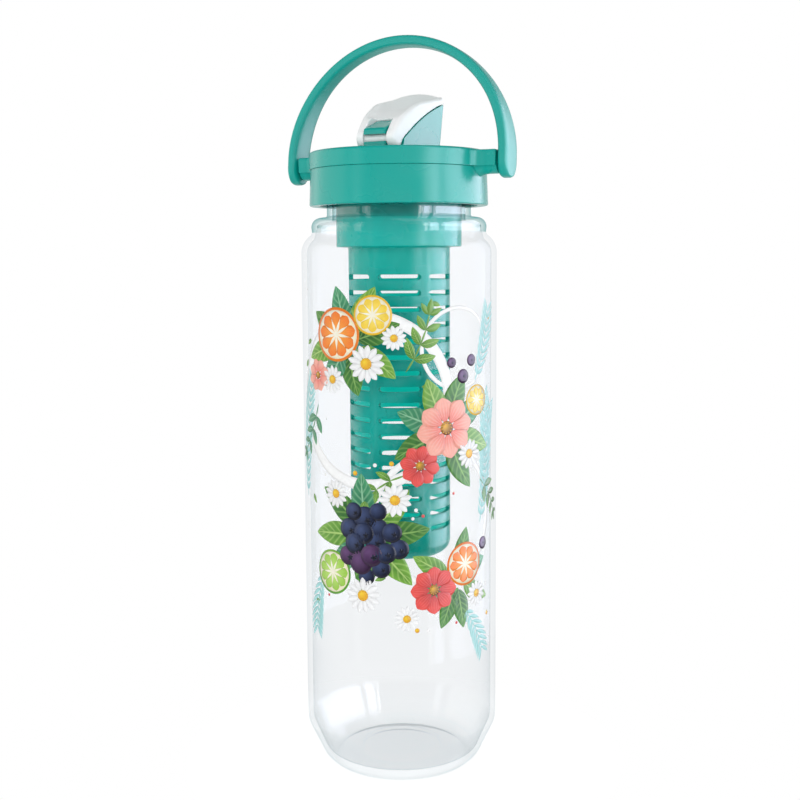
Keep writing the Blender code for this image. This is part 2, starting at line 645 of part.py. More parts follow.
def make_handle(material):
    """Hoop handle: straight arms with round ends, a half circle, and a stud on each arm."""
    rise = HANDLE_REACH - ARM_OUTER
    end = ARM_WIDTH * 0.5
    path = []
    for share in (0.97, 0.85, 0.55, 0.0):
        path.append((-end * share, math.sqrt(1.0 - share * share), 0.0))
    for step in range(1, HANDLE_STEPS + 1):
        turn = math.radians(90.0 * step / HANDLE_STEPS)
        path.append((rise + ARM_OUTER * math.sin(turn), 1.0, turn))
    path += [(z, width, math.pi - turn) for z, width, turn in reversed(path[:-1])]
    sections = []
    for z, share, turn in path:
        crown = smooth_step(math.sin(turn))
        half_width = 0.5 * (ARM_WIDTH + (CROWN_WIDTH - ARM_WIDTH) * crown) * share
        half_depth = 0.5 * (ARM_THICKNESS + (CROWN_THICKNESS - ARM_THICKNESS) * crown)
        outward = (math.cos(turn), math.sin(turn))
        middle = (ARM_OUTER * outward[0] - half_depth * outward[0], z - half_depth * outward[1])
        section = []
        for step in range(HANDLE_SIDES):
            angle = 2.0 * math.pi * (step + 0.5) / HANDLE_SIDES
            c, s = math.cos(angle), math.sin(angle)
            depth = half_depth * math.copysign(abs(c) ** 0.45, c)
            width = half_width * math.copysign(abs(s) ** 0.45, s)
            section.append((middle[0] + depth * outward[0], width, middle[1] + depth * outward[1]))
        sections.append(section)
    handle = loft("handle", sections, material)
    handle.location = (0.0, 0.0, PIVOT_Z)
    handle.rotation_euler = (-math.radians(HANDLE_LEAN), 0.0, 0.0)
    start = EAR_END - BORE_DEPTH + GAP
    end = ARM_INNER + 0.5 * ARM_THICKNESS
    for side, word in ((1.0, "right"), (-1.0, "left")):
        combine(handle, pivot_rod(f"guide_stud_{word}", side, start, end, BORE_RADIUS - GAP), "UNION")
    return handle


def make_infuser_collar(material):
    """Socket ring under the lid that the basket's head goes into."""
    return make_ring("infuser_collar", INFUSER_BORE, INFUSER_COLLAR_RADIUS, INFUSER_BOTTOM, INFUSER_TOP,
                     material, edge=INFUSER_COLLAR_EDGE)


def basket_outline():
    """Outer profile of the basket from its head to its bottom, with the rows between slots."""
    foot = INFUSER_BOTTOM + GAP
    points = [(PLUG_OUTER, BASKET_TOP), (PLUG_OUTER, foot), (BASKET_RADIUS, foot - 0.2 * BASKET_STEP)]
    rows = []
    for row in range(SLOT_ROWS):
        top = BASKET_TOP - SLOT_FIRST - SLOT_PITCH * row
        rows.append(len(points))
        points += [(BASKET_RADIUS, top), (BASKET_RADIUS, top - SLOT_HEIGHT)]
    centre = (BASKET_RADIUS - BASKET_CORNER, BASKET_BOTTOM + BASKET_CORNER)
    points += arc(centre, BASKET_CORNER, 0.0, -90.0, 4)
    drain = len(points)
    points += [(DRAIN_OUTER, BASKET_BOTTOM), (DRAIN_INNER, BASKET_BOTTOM), (0.0, BASKET_BOTTOM)]
    return points, rows, drain


def make_basket(material):
    """Slotted infuser basket: six columns of slots between upright rails, and a drained bottom."""
    points, rows, drain = basket_outline()
    slot_step = SLOT_ANGLE / SLOT_FACETS
    angles = []
    for column in range(SLOT_COLUMNS):
        start = 360.0 / SLOT_COLUMNS * column - 0.5 * SLOT_ANGLE - SLOT_TURN
        angles += [start + slot_step * facet for facet in range(SLOT_FACETS + 1)]
    steps = len(angles)
    open_rows = set(rows)
    bm = bmesh.new()
    rings = []
    for radius, height in points[:-1]:
        rings.append([
            bm.verts.new((radius * math.cos(math.radians(a)), radius * math.sin(math.radians(a)), height))
            for a in angles
        ])
    pole = bm.verts.new((0.0, 0.0, points[-1][1]))
    for level, (ring, following) in enumerate(zip(rings, rings[1:])):
        for step in range(steps):
            facet = step % (SLOT_FACETS + 1)
            slot = level in open_rows and facet < SLOT_FACETS
            hole = level == drain and facet == SLOT_FACETS // 2
            if slot or hole:
                continue
            after = (step + 1) % steps
            bm.faces.new((ring[step], following[step], following[after], ring[after]))
    for step in range(steps):
        bm.faces.new((rings[-1][step], pole, rings[-1][(step + 1) % steps]))
    basket = finish_mesh("infuser_basket", bm, material)
    shell = basket.modifiers.new("wall", "SOLIDIFY")
    shell.thickness = BASKET_WALL
    shell.offset = -1.0
    shell.use_even_offset = True
    return basket


def make_parts():
    """Model each sub-part with its own material."""
    teal_parts = {
        "lid_top": make_lid_top,
        "screw_collar": make_screw_collar,
        "handle": make_handle,
        "infuser_collar": make_infuser_collar,
        "infuser_basket": make_basket,
    }
    for name, maker in teal_parts.items():
        maker(make_material(f"{name} teal", TEAL, 0.28))
    make_bottle(make_material("bottle clear", CLEAR, 0.04))
    make_flip_cap(make_material("cap white", WHITE, 0.35))
    make_mouth_seal(make_material("mouth seal silicone", SILICONE, 0.5))
    low = NECK_TOP + GAP
    make_ring("lid_seal", SEAL_INNER, SEAL_OUTER, low, low + SEAL_THICKNESS,
              make_material("lid seal silicone", SILICONE, 0.5))
    low = INFUSER_TOP + GAP
    make_ring("infuser_seal", INFUSER_BORE, INFUSER_COLLAR_RADIUS, low, low + INFUSER_SEAL_THICKNESS,
              make_material("infuser seal silicone", SILICONE, 0.5))


clear_scene()
make_parts()
print("handle axis height", round(PIVOT_Z, 5), "cap hinge height", round(HINGE_Z, 5))
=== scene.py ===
# %% [markdown]
# # A tea infuser bottle, dressed for a studio picture
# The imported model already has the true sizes: a clear bottle, a teal screw lid with a hoop
# handle and a flip spout, and a slotted basket that hangs inside. This lesson remakes every
# piece but the small mouth seal with a finer mesh, gives each its finish, and prints a pattern
# on the wall. Lengths of pieces are in millimetres, and each mesh is scaled to metres once.

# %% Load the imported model
import random
from math import asin, atan2, ceil, copysign, cos, degrees, exp, log, pi, radians, sin, sqrt, tan

import bmesh
import bpy
from mathutils import Matrix, Vector


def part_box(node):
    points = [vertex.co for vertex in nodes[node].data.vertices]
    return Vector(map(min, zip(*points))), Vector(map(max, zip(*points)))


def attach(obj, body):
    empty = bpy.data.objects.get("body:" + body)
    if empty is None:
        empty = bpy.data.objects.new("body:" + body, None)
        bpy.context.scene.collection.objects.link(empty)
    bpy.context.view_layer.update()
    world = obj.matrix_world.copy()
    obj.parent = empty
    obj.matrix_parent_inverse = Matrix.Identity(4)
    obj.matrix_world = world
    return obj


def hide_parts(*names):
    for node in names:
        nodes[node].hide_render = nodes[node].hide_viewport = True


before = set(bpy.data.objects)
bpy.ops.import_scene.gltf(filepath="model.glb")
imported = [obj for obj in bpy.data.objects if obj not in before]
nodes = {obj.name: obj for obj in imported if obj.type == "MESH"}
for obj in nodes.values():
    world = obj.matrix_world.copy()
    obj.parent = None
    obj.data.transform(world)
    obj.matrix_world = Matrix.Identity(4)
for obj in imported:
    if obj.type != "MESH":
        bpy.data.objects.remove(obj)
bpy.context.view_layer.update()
MM = 0.001
scene = bpy.context.scene


def box(node):
    """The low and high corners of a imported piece, in millimetres."""
    return [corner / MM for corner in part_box(node)]


def place_object(name, data):
    """Put a new camera, lamp or mesh into the scene."""
    thing = bpy.data.objects.new(name, data)
    scene.collection.objects.link(thing)
    return thing


print("pieces:", sorted(nodes))

# %% [markdown]
# ## The camera
# The photograph was taken with a normal lens from a little above the middle of the bottle, and
# 26 degrees round from the cap's hinge. A camera can be aimed with a constraint, but a matrix
# built from three directions says exactly what it does: right, up and backwards are its columns.

# %% Place the camera
CAMERA_TURN = radians(26.0)
CAMERA_DISTANCE = 0.451
CAMERA_HEIGHT = 0.1916
CAMERA_PITCH = radians(6.75)
CAMERA_ROLL = radians(0.35)

right = Vector((cos(CAMERA_TURN), sin(CAMERA_TURN), 0.0))
level_ahead = Vector((-sin(CAMERA_TURN), cos(CAMERA_TURN), 0.0))
forward = cos(CAMERA_PITCH) * level_ahead - sin(CAMERA_PITCH) * Vector((0.0, 0.0, 1.0))
upward = right.cross(forward)
aim = Matrix((right, upward, -forward)).transposed().to_4x4()
aim.translation = Vector((0.0, 0.0, CAMERA_HEIGHT)) - CAMERA_DISTANCE * level_ahead
lens = bpy.data.cameras.new("studio_camera")
lens.lens = 54.0
lens.sensor_width = 36.0
lens.clip_start = 0.01
camera = place_object("studio_camera", lens)
camera.matrix_world = aim @ Matrix.Rotation(-CAMERA_ROLL, 4, "Z")
scene.camera = camera
print("camera at", [round(value, 4) for value in camera.matrix_world.translation])

# %% [markdown]
# ## Recipes made of nodes
# A material or a world is a small tree of nodes. Most trees need the same few steps: noise at
# some scale, a map from noise to a range, a mix of two colours, and a bump. The class below
# keeps each recipe short. Every step takes plain values or the outputs of earlier steps.

# %% Write recipes of nodes


class Recipe:
    """A node tree in the making."""

    def __init__(self, tree):
        self.tree = tree

    def feed(self, socket, value):
        """Give a socket a plain value or the output of another node."""
        if isinstance(value, bpy.types.NodeSocket):
            self.tree.links.new(value, socket)
        else:
            socket.default_value = value

    def add(self, kind, inputs=(), **settings):
        """Add a node, set it up, feed its inputs and return its outputs."""
        node = self.tree.nodes.new("ShaderNode" + kind)
        for setting, value in settings.items():
            setattr(node, setting, value)
        for socket, value in dict(inputs).items():
            self.feed(node.inputs[socket], value)
        return node.outputs

    def calc(self, operation, first, second=0.0):
        """One step of arithmetic."""
        return self.add("Math", {0: first, 1: second}, operation=operation)[0]

    def plus(self, first, second):
        """The sum of two values."""
        return self.calc("ADD", first, second)

    def times(self, first, second):
        """The product of two values."""
        return self.calc("MULTIPLY", first, second)

    def mix(self, amount, first, second, blend="MIX"):
        """Mix two colours."""
        return self.add("Mix", {0: amount, 6: first, 7: second}, data_type="RGBA", blend_type=blend)[2]

    def spread(self, value, low, high, start=0.3, end=0.7, curve="LINEAR"):
        """Map a value between start and end to a range from low to high."""
        ends = {0: value, 1: start, 2: end, 3: low, 4: high}
        return self.add("MapRange", ends, interpolation_type=curve)[0]

    def speckle(self, scale, detail=2.0, stretch=(1.0, 1.0, 1.0)):
        """Noise fixed to the piece itself, in waves per metre."""
        place = self.add("TexCoord")["Object"]
        scaled = self.add("Mapping", {"Vector": place, "Scale": stretch})[0]
        return self.add("TexNoise", {"Vector": scaled, "Scale": scale, "Detail": detail})["Fac"]

    def bump(self, value, depth, strength):
        """A bump of the given depth in metres."""
        return self.add("Bump", {"Height": value, "Distance": depth, "Strength": strength})[0]


print("recipes are ready")

# %% [markdown]
# ## The room
# The picture was taken in a white room. Soft light comes from all sides, a little less from
# above, while the photographer's side is dark where a glossy face would mirror it. A world can
# give each kind of ray its own light: white to the eye, even for dull faces, and dark in front
# for glossy ones. That dark side is what keeps the teal deep in the middle of the lid.

# %% Make the white room
MIRROR_FRONT = 0.02
MIRROR_BACK = 1.00
LIGHT_LEVEL = 1.00
LIGHT_ABOVE = 0.50
WHITE = (1.0, 1.0, 1.0, 1.0)

world = bpy.data.worlds.new("white_room")
scene.world = world
world.use_nodes = True
room = Recipe(world.node_tree)
towards = room.add("TexCoord")["Generated"]
seen_by = room.add("LightPath")


def room_fade(direction, start, end, low, high):
    """Brightness that changes smoothly along a direction in the room."""
    facing = room.add("VectorMath", {0: towards, 1: direction}, operation="DOT_PRODUCT")["Value"]
    return room.spread(facing, low, high, start, end, "SMOOTHSTEP")


def choose(kind, otherwise, chosen):
    """Pick a brightness by the kind of ray."""
    return room.add("Mix", {0: seen_by[kind], 2: otherwise, 3: chosen}, data_type="FLOAT")[0]


mirrored = room_fade((forward.x, forward.y, 0.0), 0.35, 1.0, MIRROR_FRONT, MIRROR_BACK)
soft_light = room_fade((0.0, 0.0, 1.0), 0.1, 1.0, LIGHT_LEVEL, LIGHT_ABOVE)
unseen = choose("Is Diffuse Ray", mirrored, soft_light)
background = world.node_tree.nodes["Background"].inputs
room.feed(background["Strength"], choose("Is Camera Ray", unseen, 1.0))
background["Color"].default_value = WHITE
scene.view_settings.view_transform = "Standard"
print("room brightness in the gloss, front and back:", MIRROR_FRONT, MIRROR_BACK)

# %% [markdown]
# ## The lamps
# A round, glossy thing shows its lamps as upright bands. On the lid one wide soft band lies on
# the right and a faint one at the left edge. On the clear wall narrow bright bands come from
# window panes. Each lamp is placed by its angle from the camera, as in a studio plan. The room
# already gives the dull light, so these lamps show in the gloss alone, like reflector cards.
# One lamp is the other way round: it fills the front and never shows in the gloss.

# %% Hang the lamps
STUDIO_AIM = Vector((0.0, 0.0, 0.15))
COOL = (0.82, 0.85, 1.0)
WARM = (1.0, 0.99, 0.93)
WHITE_LIGHT = (0.97, 0.98, 1.0)
WINDOW_RISE = 4.0
WINDOW_DISTANCE = 0.90
WINDOW_HEIGHT = 1.10


def hang_lamp(name, turn, rise, distance, width, height, glow, colour, dull=False):
    """An area lamp, turned in degrees from the camera to its right, for gloss or for dull light."""
    side = radians(turn)
    lift = radians(rise)
    level = sin(side) * right - cos(side) * level_ahead
    place = STUDIO_AIM + distance * (cos(lift) * level + Vector((0.0, 0.0, sin(lift))))
    data = bpy.data.lights.new(name, "AREA")
    data.shape = "RECTANGLE"
    data.size = width
    data.size_y = height
    data.energy = glow * pi * width * height
    data.color = colour
    lamp = place_object(name, data)
    lamp.location = place
    lamp.rotation_euler = (STUDIO_AIM - place).to_track_quat("-Z", "Y").to_euler()
    lamp.visible_camera = False
    lamp.visible_diffuse = dull
    lamp.visible_glossy = not dull


WINDOWS = {
    "window_right": (96.0, 1.30, 6.2, COOL),
    "window_near_right": (46.0, 0.20, 6.6, COOL),
    "window_pane_right": (35.0, 0.06, 5.0, WHITE_LIGHT),
    "window_left": (-104.0, 1.20, 1.2, WARM),
    "window_near_left": (-54.0, 0.16, 1.6, WHITE_LIGHT),
}
for window, (turn, width, glow, colour) in WINDOWS.items():
    hang_lamp(window, turn, WINDOW_RISE, WINDOW_DISTANCE, width, WINDOW_HEIGHT, glow, colour)
hang_lamp("softbox_top", 35.0, 62.0, 0.85, 0.60, 0.60, 1.2, WHITE_LIGHT)
hang_lamp("fill_front", -6.0, 8.0, 1.20, 1.20, 1.20, 1.5, WHITE_LIGHT, True)
print("lamps:", len(WINDOWS) + 2)

# %% [markdown]
# ## Finishes, and fitting a piece
# A finish is a recipe with the usual shader in it. A thin layer such as a wall of plastic or a
# film of ink also lets light cross it, so a finish can mix in a second shader for that light.
# Every piece is then fitted in the same way: it gets its finishes, rides on the body that moves it,
# and stands for a imported piece where there is one.

# %% Write finishes and fit pieces


class Finish(Recipe):
    """A new material with its shader."""

    def __init__(self, name):
        self.material = bpy.data.materials.new(name)
        self.material.use_nodes = True
        super().__init__(self.material.node_tree)
        self.shader = self.tree.nodes["Principled BSDF"]

    def layer(self, amount, below, above):
        """Make the surface a mix of two shaders."""
        both = self.add("MixShader", {0: amount, 1: below, 2: above})[0]
        self.feed(self.tree.nodes["Material Output"].inputs["Surface"], both)
        return self.material

    def paint(self, sockets, through=0.0):
        """Feed the shader; through is the share of light that crosses a thin layer."""
        for socket, value in sockets.items():
            self.feed(self.shader.inputs[socket], value)
        if through:
            crossing = self.add("BsdfTranslucent", {"Color": sockets["Base Color"]})[0]
            self.layer(through, self.shader.outputs[0], crossing)
        return self.material


def shade(colour, factor):
    """The same colour, lighter or darker."""
    return tuple(min(channel * factor, 1.0) for channel in colour[:3]) + (1.0,)


def fit_piece(thing, body, slot, node, *materials):
    """Dress a piece, let it ride on its body, and hide what it replaces; slot is not used."""
    thing.data.materials.clear()
    for material in materials:
        thing.data.materials.append(material)
    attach(thing, body)
    if node:
        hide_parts(node)


print("finishes are ready")

# %% [markdown]
# ## Satin moulded plastic
# The lid, the handle and the basket are injection moulded in one teal plastic. Such plastic has
# a very fine grain, and gloss that wanders a little where the mould was cooler. Thin walls such
# as the basket's also let light through, so its inner faces get a faint glow of their own. That
# stands for light that crosses the wall, and keeps the inside of the slots from going dark. The
# lid keeps the light off the top of the socket ring, so the ring's colour darkens with height.

# %% Teal and white plastic
TEAL = (0.0, 0.325, 0.276, 1.0)
CAP_WHITE = (0.86, 0.87, 0.87, 1.0)
# Painted light: the basket is the lid's teal made a third lighter, to make up for the light the clear wall
# takes away on the way in and on the way out.
BASKET_TEAL_PAINTED_LIGHTER = shade(TEAL, 1.34)
SATIN = (0.24, 0.30)
POLISH = 1.48
CAP_POLISH = 1.45
LID_SHADE = 0.60
LIT_HEIGHT = box("bottle_body")[1].z - 15.3
THIN_WALL = 0.15


def moulded_plastic(name, colour, dull, grain=0.03, through=0.0, polish=POLISH, lit=None):
    """Satin plastic with a fine grain and wandering gloss; above the lit height it is darker."""
    finish = Finish(name)
    drift = finish.spread(finish.speckle(26.0, 3.0), 0.0, 1.0)
    tint = finish.mix(drift, shade(colour, 0.97), shade(colour, 1.03))
    if lit is not None:
        height = finish.add("SeparateXYZ", {0: finish.add("TexCoord")["Object"]})["Z"]
        dim = finish.spread(height, 1.0, LID_SHADE, lit * MM, (lit + 1.0) * MM)
        tint = finish.add("VectorMath", {0: tint, "Scale": dim}, operation="SCALE")[0]
    return finish.paint({
        "Base Color": tint,
        "Roughness": finish.spread(finish.speckle(70.0, 3.0), *dull),
        "Normal": finish.bump(finish.speckle(2600.0, 1.0), 0.00002, grain),
        "Specular IOR Level": 0.5,
        "IOR": polish,
    }, through)


teal_lid = moulded_plastic("teal_lid_plastic", TEAL, SATIN)
teal_handle = moulded_plastic("teal_handle_plastic", TEAL, (0.36, 0.42), 0.008)
teal_basket = moulded_plastic("teal_basket_plastic", BASKET_TEAL_PAINTED_LIGHTER, SATIN, 0.03, THIN_WALL)
basket_inside = moulded_plastic("teal_basket_inside", BASKET_TEAL_PAINTED_LIGHTER, (0.30, 0.38), 0.03, THIN_WALL)
inner_shader = basket_inside.node_tree.nodes["Principled BSDF"].inputs
inner_shader["Emission Color"].default_value = shade(TEAL, 1.2)
inner_shader["Emission Strength"].default_value = 0.75
# Painted light: the socket ring is the lid's teal made a quarter lighter, to make up for the light the clear
# wall takes away, and above the lit height its colour is darkened as painted shade from the lid.
teal_ring = moulded_plastic("teal_ring_plastic", shade(TEAL, 1.25), SATIN, lit=LIT_HEIGHT)
white_cap = moulded_plastic("white_cap_plastic", CAP_WHITE, (0.34, 0.42), 0.02, 0.0, CAP_POLISH)
print("plastics:", [one.name for one in (teal_lid, teal_handle, teal_basket, teal_ring, white_cap)])

# %% [markdown]
# ## Silicone seals
# Three seals are soft silicone: a dull, slightly see-through rubber that picks up dust. A little
# subsurface scattering lets light bleed into the rubber, and high roughness keeps it dull.

# %% Silicone
SILICONE = (0.70, 0.74, 0.74, 1.0)
rubber = Finish("seal_silicone")
mottle = rubber.speckle(160.0, 4.0)
seal_rubber = rubber.paint({
    "Base Color": rubber.mix(rubber.spread(mottle, 0.0, 1.0), shade(SILICONE, 0.93), shade(SILICONE, 1.04)),
    "Roughness": rubber.spread(mottle, 0.48, 0.60),
    "Normal": rubber.bump(rubber.speckle(1400.0), 0.00004, 0.10),
    "Subsurface Weight": 0.25,
    "Subsurface Scale": 0.002,
})
nodes["mouth_seal"].data.materials.clear()
nodes["mouth_seal"].data.materials.append(seal_rubber)
print("seals:", seal_rubber.name)

# %% [markdown]
# ## Clear bottle plastic
# Glass can be traced with real refraction, but two thin parallel walls hardly bend the view, and
# refraction shuts the lamps out of the inside. So each wall surface lets the view straight
# through with a small loss, a little more where it is seen edge on, and adds a thin gloss.
# The gloss rises steeply towards the edge, as on all plastic. It is set low, because the lamps
# here are much brighter than the room. The neck and the heel are thicker, so they are shinier.

# %% Clear plastic
CLEAR_FACE = (0.970, 0.975, 0.979, 1.0)
CLEAR_EDGE = (0.885, 0.905, 0.915, 1.0)
NECK_EDGE = (0.26, 0.54, 0.54, 1.0)
HEEL_EDGE = (0.79, 0.82, 0.83, 1.0)
FACE_GLOSS = 0.006
NECK_GLOSS = 0.045
HEEL_GLOSS = 0.020
EDGE_GLOSS = 0.14


def clear_plastic(name, edge, face_gloss):
    """A clear wall: a tinted see-through layer under a thin gloss with faint waves and scuffs."""
    finish = Finish(name)
    finish.tree.nodes.remove(finish.shader)
    grazing = finish.add("LayerWeight", {"Blend": 0.5})["Facing"]
    tint = finish.mix(finish.calc("POWER", grazing, 3.0), CLEAR_FACE, edge)
    passed = finish.add("BsdfTransparent", {"Color": tint})[0]
    scuffs = finish.speckle(240.0, 6.0, (1.0, 1.0, 0.25))
    waves = finish.speckle(22.0, 1.0, (1.0, 1.0, 0.35))
    gloss = finish.add("BsdfGlossy", {
        "Color": WHITE,
        "Roughness": finish.spread(scuffs, 0.0, 0.035, 0.45, 0.75),
        "Normal": finish.bump(waves, 0.0002, 0.2),
    })[0]
    steep = finish.times(finish.calc("POWER", grazing, 5.0), EDGE_GLOSS)
    return finish.layer(finish.plus(steep, face_gloss), passed, gloss)


clear_wall = clear_plastic("clear_bottle_plastic", CLEAR_EDGE, FACE_GLOSS)
clear_neck = clear_plastic("clear_neck_plastic", NECK_EDGE, NECK_GLOSS)
clear_heel = clear_plastic("clear_heel_plastic", HEEL_EDGE, HEEL_GLOSS)
print("clear plastics:", clear_wall.name, clear_neck.name, clear_heel.name)

# %% [markdown]
# ## Turning a profile
# The bottle is blown and the lid is moulded, but both are round, so a lathe is the natural tool:
# a closed outline of radius and height, turned about the upright axis. A fillet helper rounds
# the outline's corners first, so that highlights run over soft edges as they do on real plastic.

# %% Points and outlines


def polar(radius, angle):
    """The flat point at a distance and an angle, in radians."""
    return (radius * cos(angle), radius * sin(angle))


def circle_points(count, start=0.0):
    """Cosine and sine of evenly spaced angles round a circle."""
    return [polar(1.0, 2.0 * pi * (step + start) / count) for step in range(count)]


def step_out(centre, heading, distance):
    """The point at a heading, in degrees, and a distance from a centre."""
    x, y = polar(distance, radians(heading))
    return (centre[0] + x, centre[1] + y)


def arc(centre, radius, start, end, steps):
    """Points of an arc in the outline's plane, in degrees."""
    return [step_out(centre, start + (end - start) * step / steps, radius) for step in range(steps + 1)]


def soften(outline, steps=4):
    """Round the corners of an outline of (x, y, radius) points; a radius of 0 keeps a corner."""
    points = []
    for i, (x, y, radius) in enumerate(outline):
        corner = Vector((x, y))
        before = Vector(outline[i - 1][:2]) - corner
        after = Vector(outline[(i + 1) % len(outline)][:2]) - corner
        if radius <= 0.0 or min(before.length, after.length) < 1e-6:
            points.append((x, y))
            continue
        reach = radius / tan(before.angle(after) / 2.0)
        reach = min(reach, 0.48 * before.length, 0.48 * after.length)
        first = corner + before.normalized() * reach
        last = corner + after.normalized() * reach
        for step in range(steps + 1):
            share = step / steps
            bend = first * (1.0 - share) ** 2 + corner * 2.0 * share * (1.0 - share) + last * share ** 2
            points.append((bend.x, bend.y))
    return points


print("a quarter of an arc:", arc((0.0, 0.0), 1.0, 0.0, 90.0, 1)[1])

# %% The lathe


def add_object(name, bm):
    """Turn a bmesh in millimetres into a smooth-shaded object in metres."""
    bm.transform(Matrix.Scale(MM, 4))
    mesh = bpy.data.meshes.new(name)
    bm.to_mesh(mesh)
    bm.free()
    mesh.shade_smooth()
    return place_object(name, mesh)


def to_object(name, bm, sharp=40.0):
    """Finish a closed bmesh: faces look outwards, and edges over the sharp angle stay sharp."""
    bmesh.ops.recalc_face_normals(bm, faces=bm.faces)
    thing = add_object(name, bm)
    thing.data.set_sharp_from_angle(angle=radians(sharp))
    return thing


def turned(name, outline, steps=128, sharp=40.0):
    """Turn a closed outline of (radius, height) points about the upright axis."""
    bm = bmesh.new()
    rings = []
    for radius, height in outline:
        ends = circle_points(steps) if radius > 1e-4 else [(0.0, 0.0)]
        rings.append([bm.verts.new((radius * c, radius * s, height)) for c, s in ends])
    for ring, following in zip(rings, rings[1:] + rings[:1]):
        for step in range(steps):
            after = (step + 1) % steps
            if len(ring) == 1 and len(following) == 1:
                break
            if len(ring) == 1:
                bm.faces.new((ring[0], following[after], following[step]))
            elif len(following) == 1:
                bm.faces.new((ring[step], ring[after], following[0]))
            else:
                bm.faces.new((ring[step], ring[after], following[after], following[step]))
    return to_object(name, bm, sharp)


print("lathe ready")

# %% [markdown]
# ## Skins and cuts
# What isn't round is skinned: closed sections of equal length are joined one after another.
# Pieces that grow out of each other are joined with a Boolean, which leaves one closed surface
# instead of shells that pass through each other. Weighted normals keep the flat faces flat.

# %% Skins and rods


def skin(name, sections, sharp=40.0):
    """Join closed sections of equal length and close both ends."""
    bm = bmesh.new()
    rings = [[bm.verts.new(point) for point in section] for section in sections]
    for ring, following in zip(rings, rings[1:]):
        for i in range(len(ring)):
            j = (i + 1) % len(ring)
            bm.faces.new((ring[i], ring[j], following[j], following[i]))
    bm.faces.new(list(reversed(rings[0])))
    bm.faces.new(rings[-1])
    return to_object(name, bm, sharp)


def rod(name, stations, steps=48):
    """A round rod through (centre, radius) stations, square to the line from first to last."""
    along = (Vector(stations[-1][0]) - Vector(stations[0][0])).normalized()
    side = along.orthogonal().normalized()
    other = along.cross(side)
    return skin(name, [
        [Vector(centre) + radius * (c * side + s * other) for c, s in circle_points(steps)]
        for centre, radius in stations
    ])


print("skins ready")

# %% Modifiers and Booleans


def modify(thing, name, kind, **settings):
    """Give a piece a modifier with its settings."""
    modifier = thing.modifiers.new(name, kind)
    for setting, value in settings.items():
        setattr(modifier, setting, value)


def bake(thing, sharp=40.0):
    """Turn a piece's modifiers into plain mesh."""
    bpy.context.view_layer.update()
    graph = bpy.context.evaluated_depsgraph_get()
    mesh = bpy.data.meshes.new_from_object(thing.evaluated_get(graph))
    thing.modifiers.clear()
    thing.data = mesh
    mesh.shade_smooth()
    mesh.set_sharp_from_angle(angle=radians(sharp))


def combine(target, tool, operation):
    """Join or cut at once, and delete the tool."""
    modify(target, "combine", "BOOLEAN", operation=operation, solver="EXACT", object=tool)
    bake(target)
    bpy.data.objects.remove(tool, do_unlink=True)


def close_slits(thing):
    """Merge points that the cuts left a hair apart, and fill the slits between them."""
    reach = 0.002 * MM
    bm = bmesh.new()
    bm.from_mesh(thing.data)
    bmesh.ops.triangulate(bm, faces=bm.faces)
    bmesh.ops.remove_doubles(bm, verts=bm.verts, dist=reach)
    bmesh.ops.dissolve_degenerate(bm, edges=bm.edges, dist=reach)
    slits = [edge for edge in bm.edges if edge.is_boundary]
    bmesh.ops.holes_fill(bm, edges=slits, sides=0)
    bmesh.ops.triangulate(bm, faces=bm.faces)
    left_open = sum(edge.is_boundary for edge in bm.edges)
    bm.to_mesh(thing.data)
    bm.free()
    return left_open


def weigh_normals(thing):
    """Let big flat faces keep their flat shading next to rounded edges."""
    modify(thing, "weighted normals", "WEIGHTED_NORMAL", keep_sharp=True, weight=80)


print("cuts ready")

# %% [markdown]
# ## The clear bottle
# The real bottle is blown from one clear preform: a raised punt under the floor so that it
# stands on a ring, a sloped heel, a straight wall, a stepped shoulder and a threaded neck.
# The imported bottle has 44 sides, and this one has 160, so its edge stays round in close views.
# It is 0.16 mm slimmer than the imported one, which leaves room for the printed ink. The faces of
# the neck and the heel take the two shinier finishes.

# %% Turn the clear bottle
INK_ROOM = 0.16
BODY = box("bottle_body")[1].x - INK_ROOM
NECK_TOP = box("bottle_body")[1].z
WALL = 2.0
NECK = 26.7
HEEL = 30.3
HEEL_FACES = (24.0, 15.0)
SHOULDER = NECK_TOP - 28.0
SHOULDER_BEND = 8.0
NECK_FACES = SHOULDER + 8.0
CROWN = (29.1, SHOULDER + 9.6)
CROWN_RADIUS = 3.4

outer = soften([
    (0.0, 2.9, 0.0), (14.4, 2.9, 0.6), (15.6, 2.0, 0.6), (22.8, 2.0, 1.2), (25.0, 0.02, 1.0),
    (27.2, 0.02, 1.6), (HEEL, 2.9, 3.0), (BODY, 15.6, 6.0), (BODY, SHOULDER, 0.0), (0.0, SHOULDER, 0.0),
], 6)[:-2]
outer += arc((BODY - SHOULDER_BEND, SHOULDER), SHOULDER_BEND, 0.0, 57.0, 12)
outer.append((CROWN[0] + CROWN_RADIUS - 0.2, SHOULDER + 7.7))
outer += arc(CROWN, CROWN_RADIUS, -12.0, 84.0, 12)
neck_foot = CROWN[1] + CROWN_RADIUS
outer += soften([
    (CROWN[0] + 0.3, neck_foot, 0.0), (NECK, neck_foot + 0.1, 1.2), (NECK, NECK_TOP, 0.4),
    (NECK - WALL, NECK_TOP, 0.4), (NECK - WALL, neck_foot - 1.2, 1.0), (CROWN[0] - 0.3, neck_foot - 2.0, 0.0),
], 5)[1:-1]
inner = arc(CROWN, CROWN_RADIUS - WALL, 75.0, -12.0, 6)
inner += arc((BODY - SHOULDER_BEND, SHOULDER), SHOULDER_BEND - WALL, 57.0, 0.0, 8)
inner += soften([
    (0.0, SHOULDER, 0.0), (BODY - WALL, SHOULDER, 0.0), (BODY - WALL, 16.4, 5.0),
    (HEEL - 1.3, 4.0, 3.5), (15.4, 3.7, 1.2), (14.0, 4.5, 1.2), (0.0, 4.5, 0.0),
], 6)[2:]
bottle = turned("bottle_shell", outer + inner, 160, 50.0)
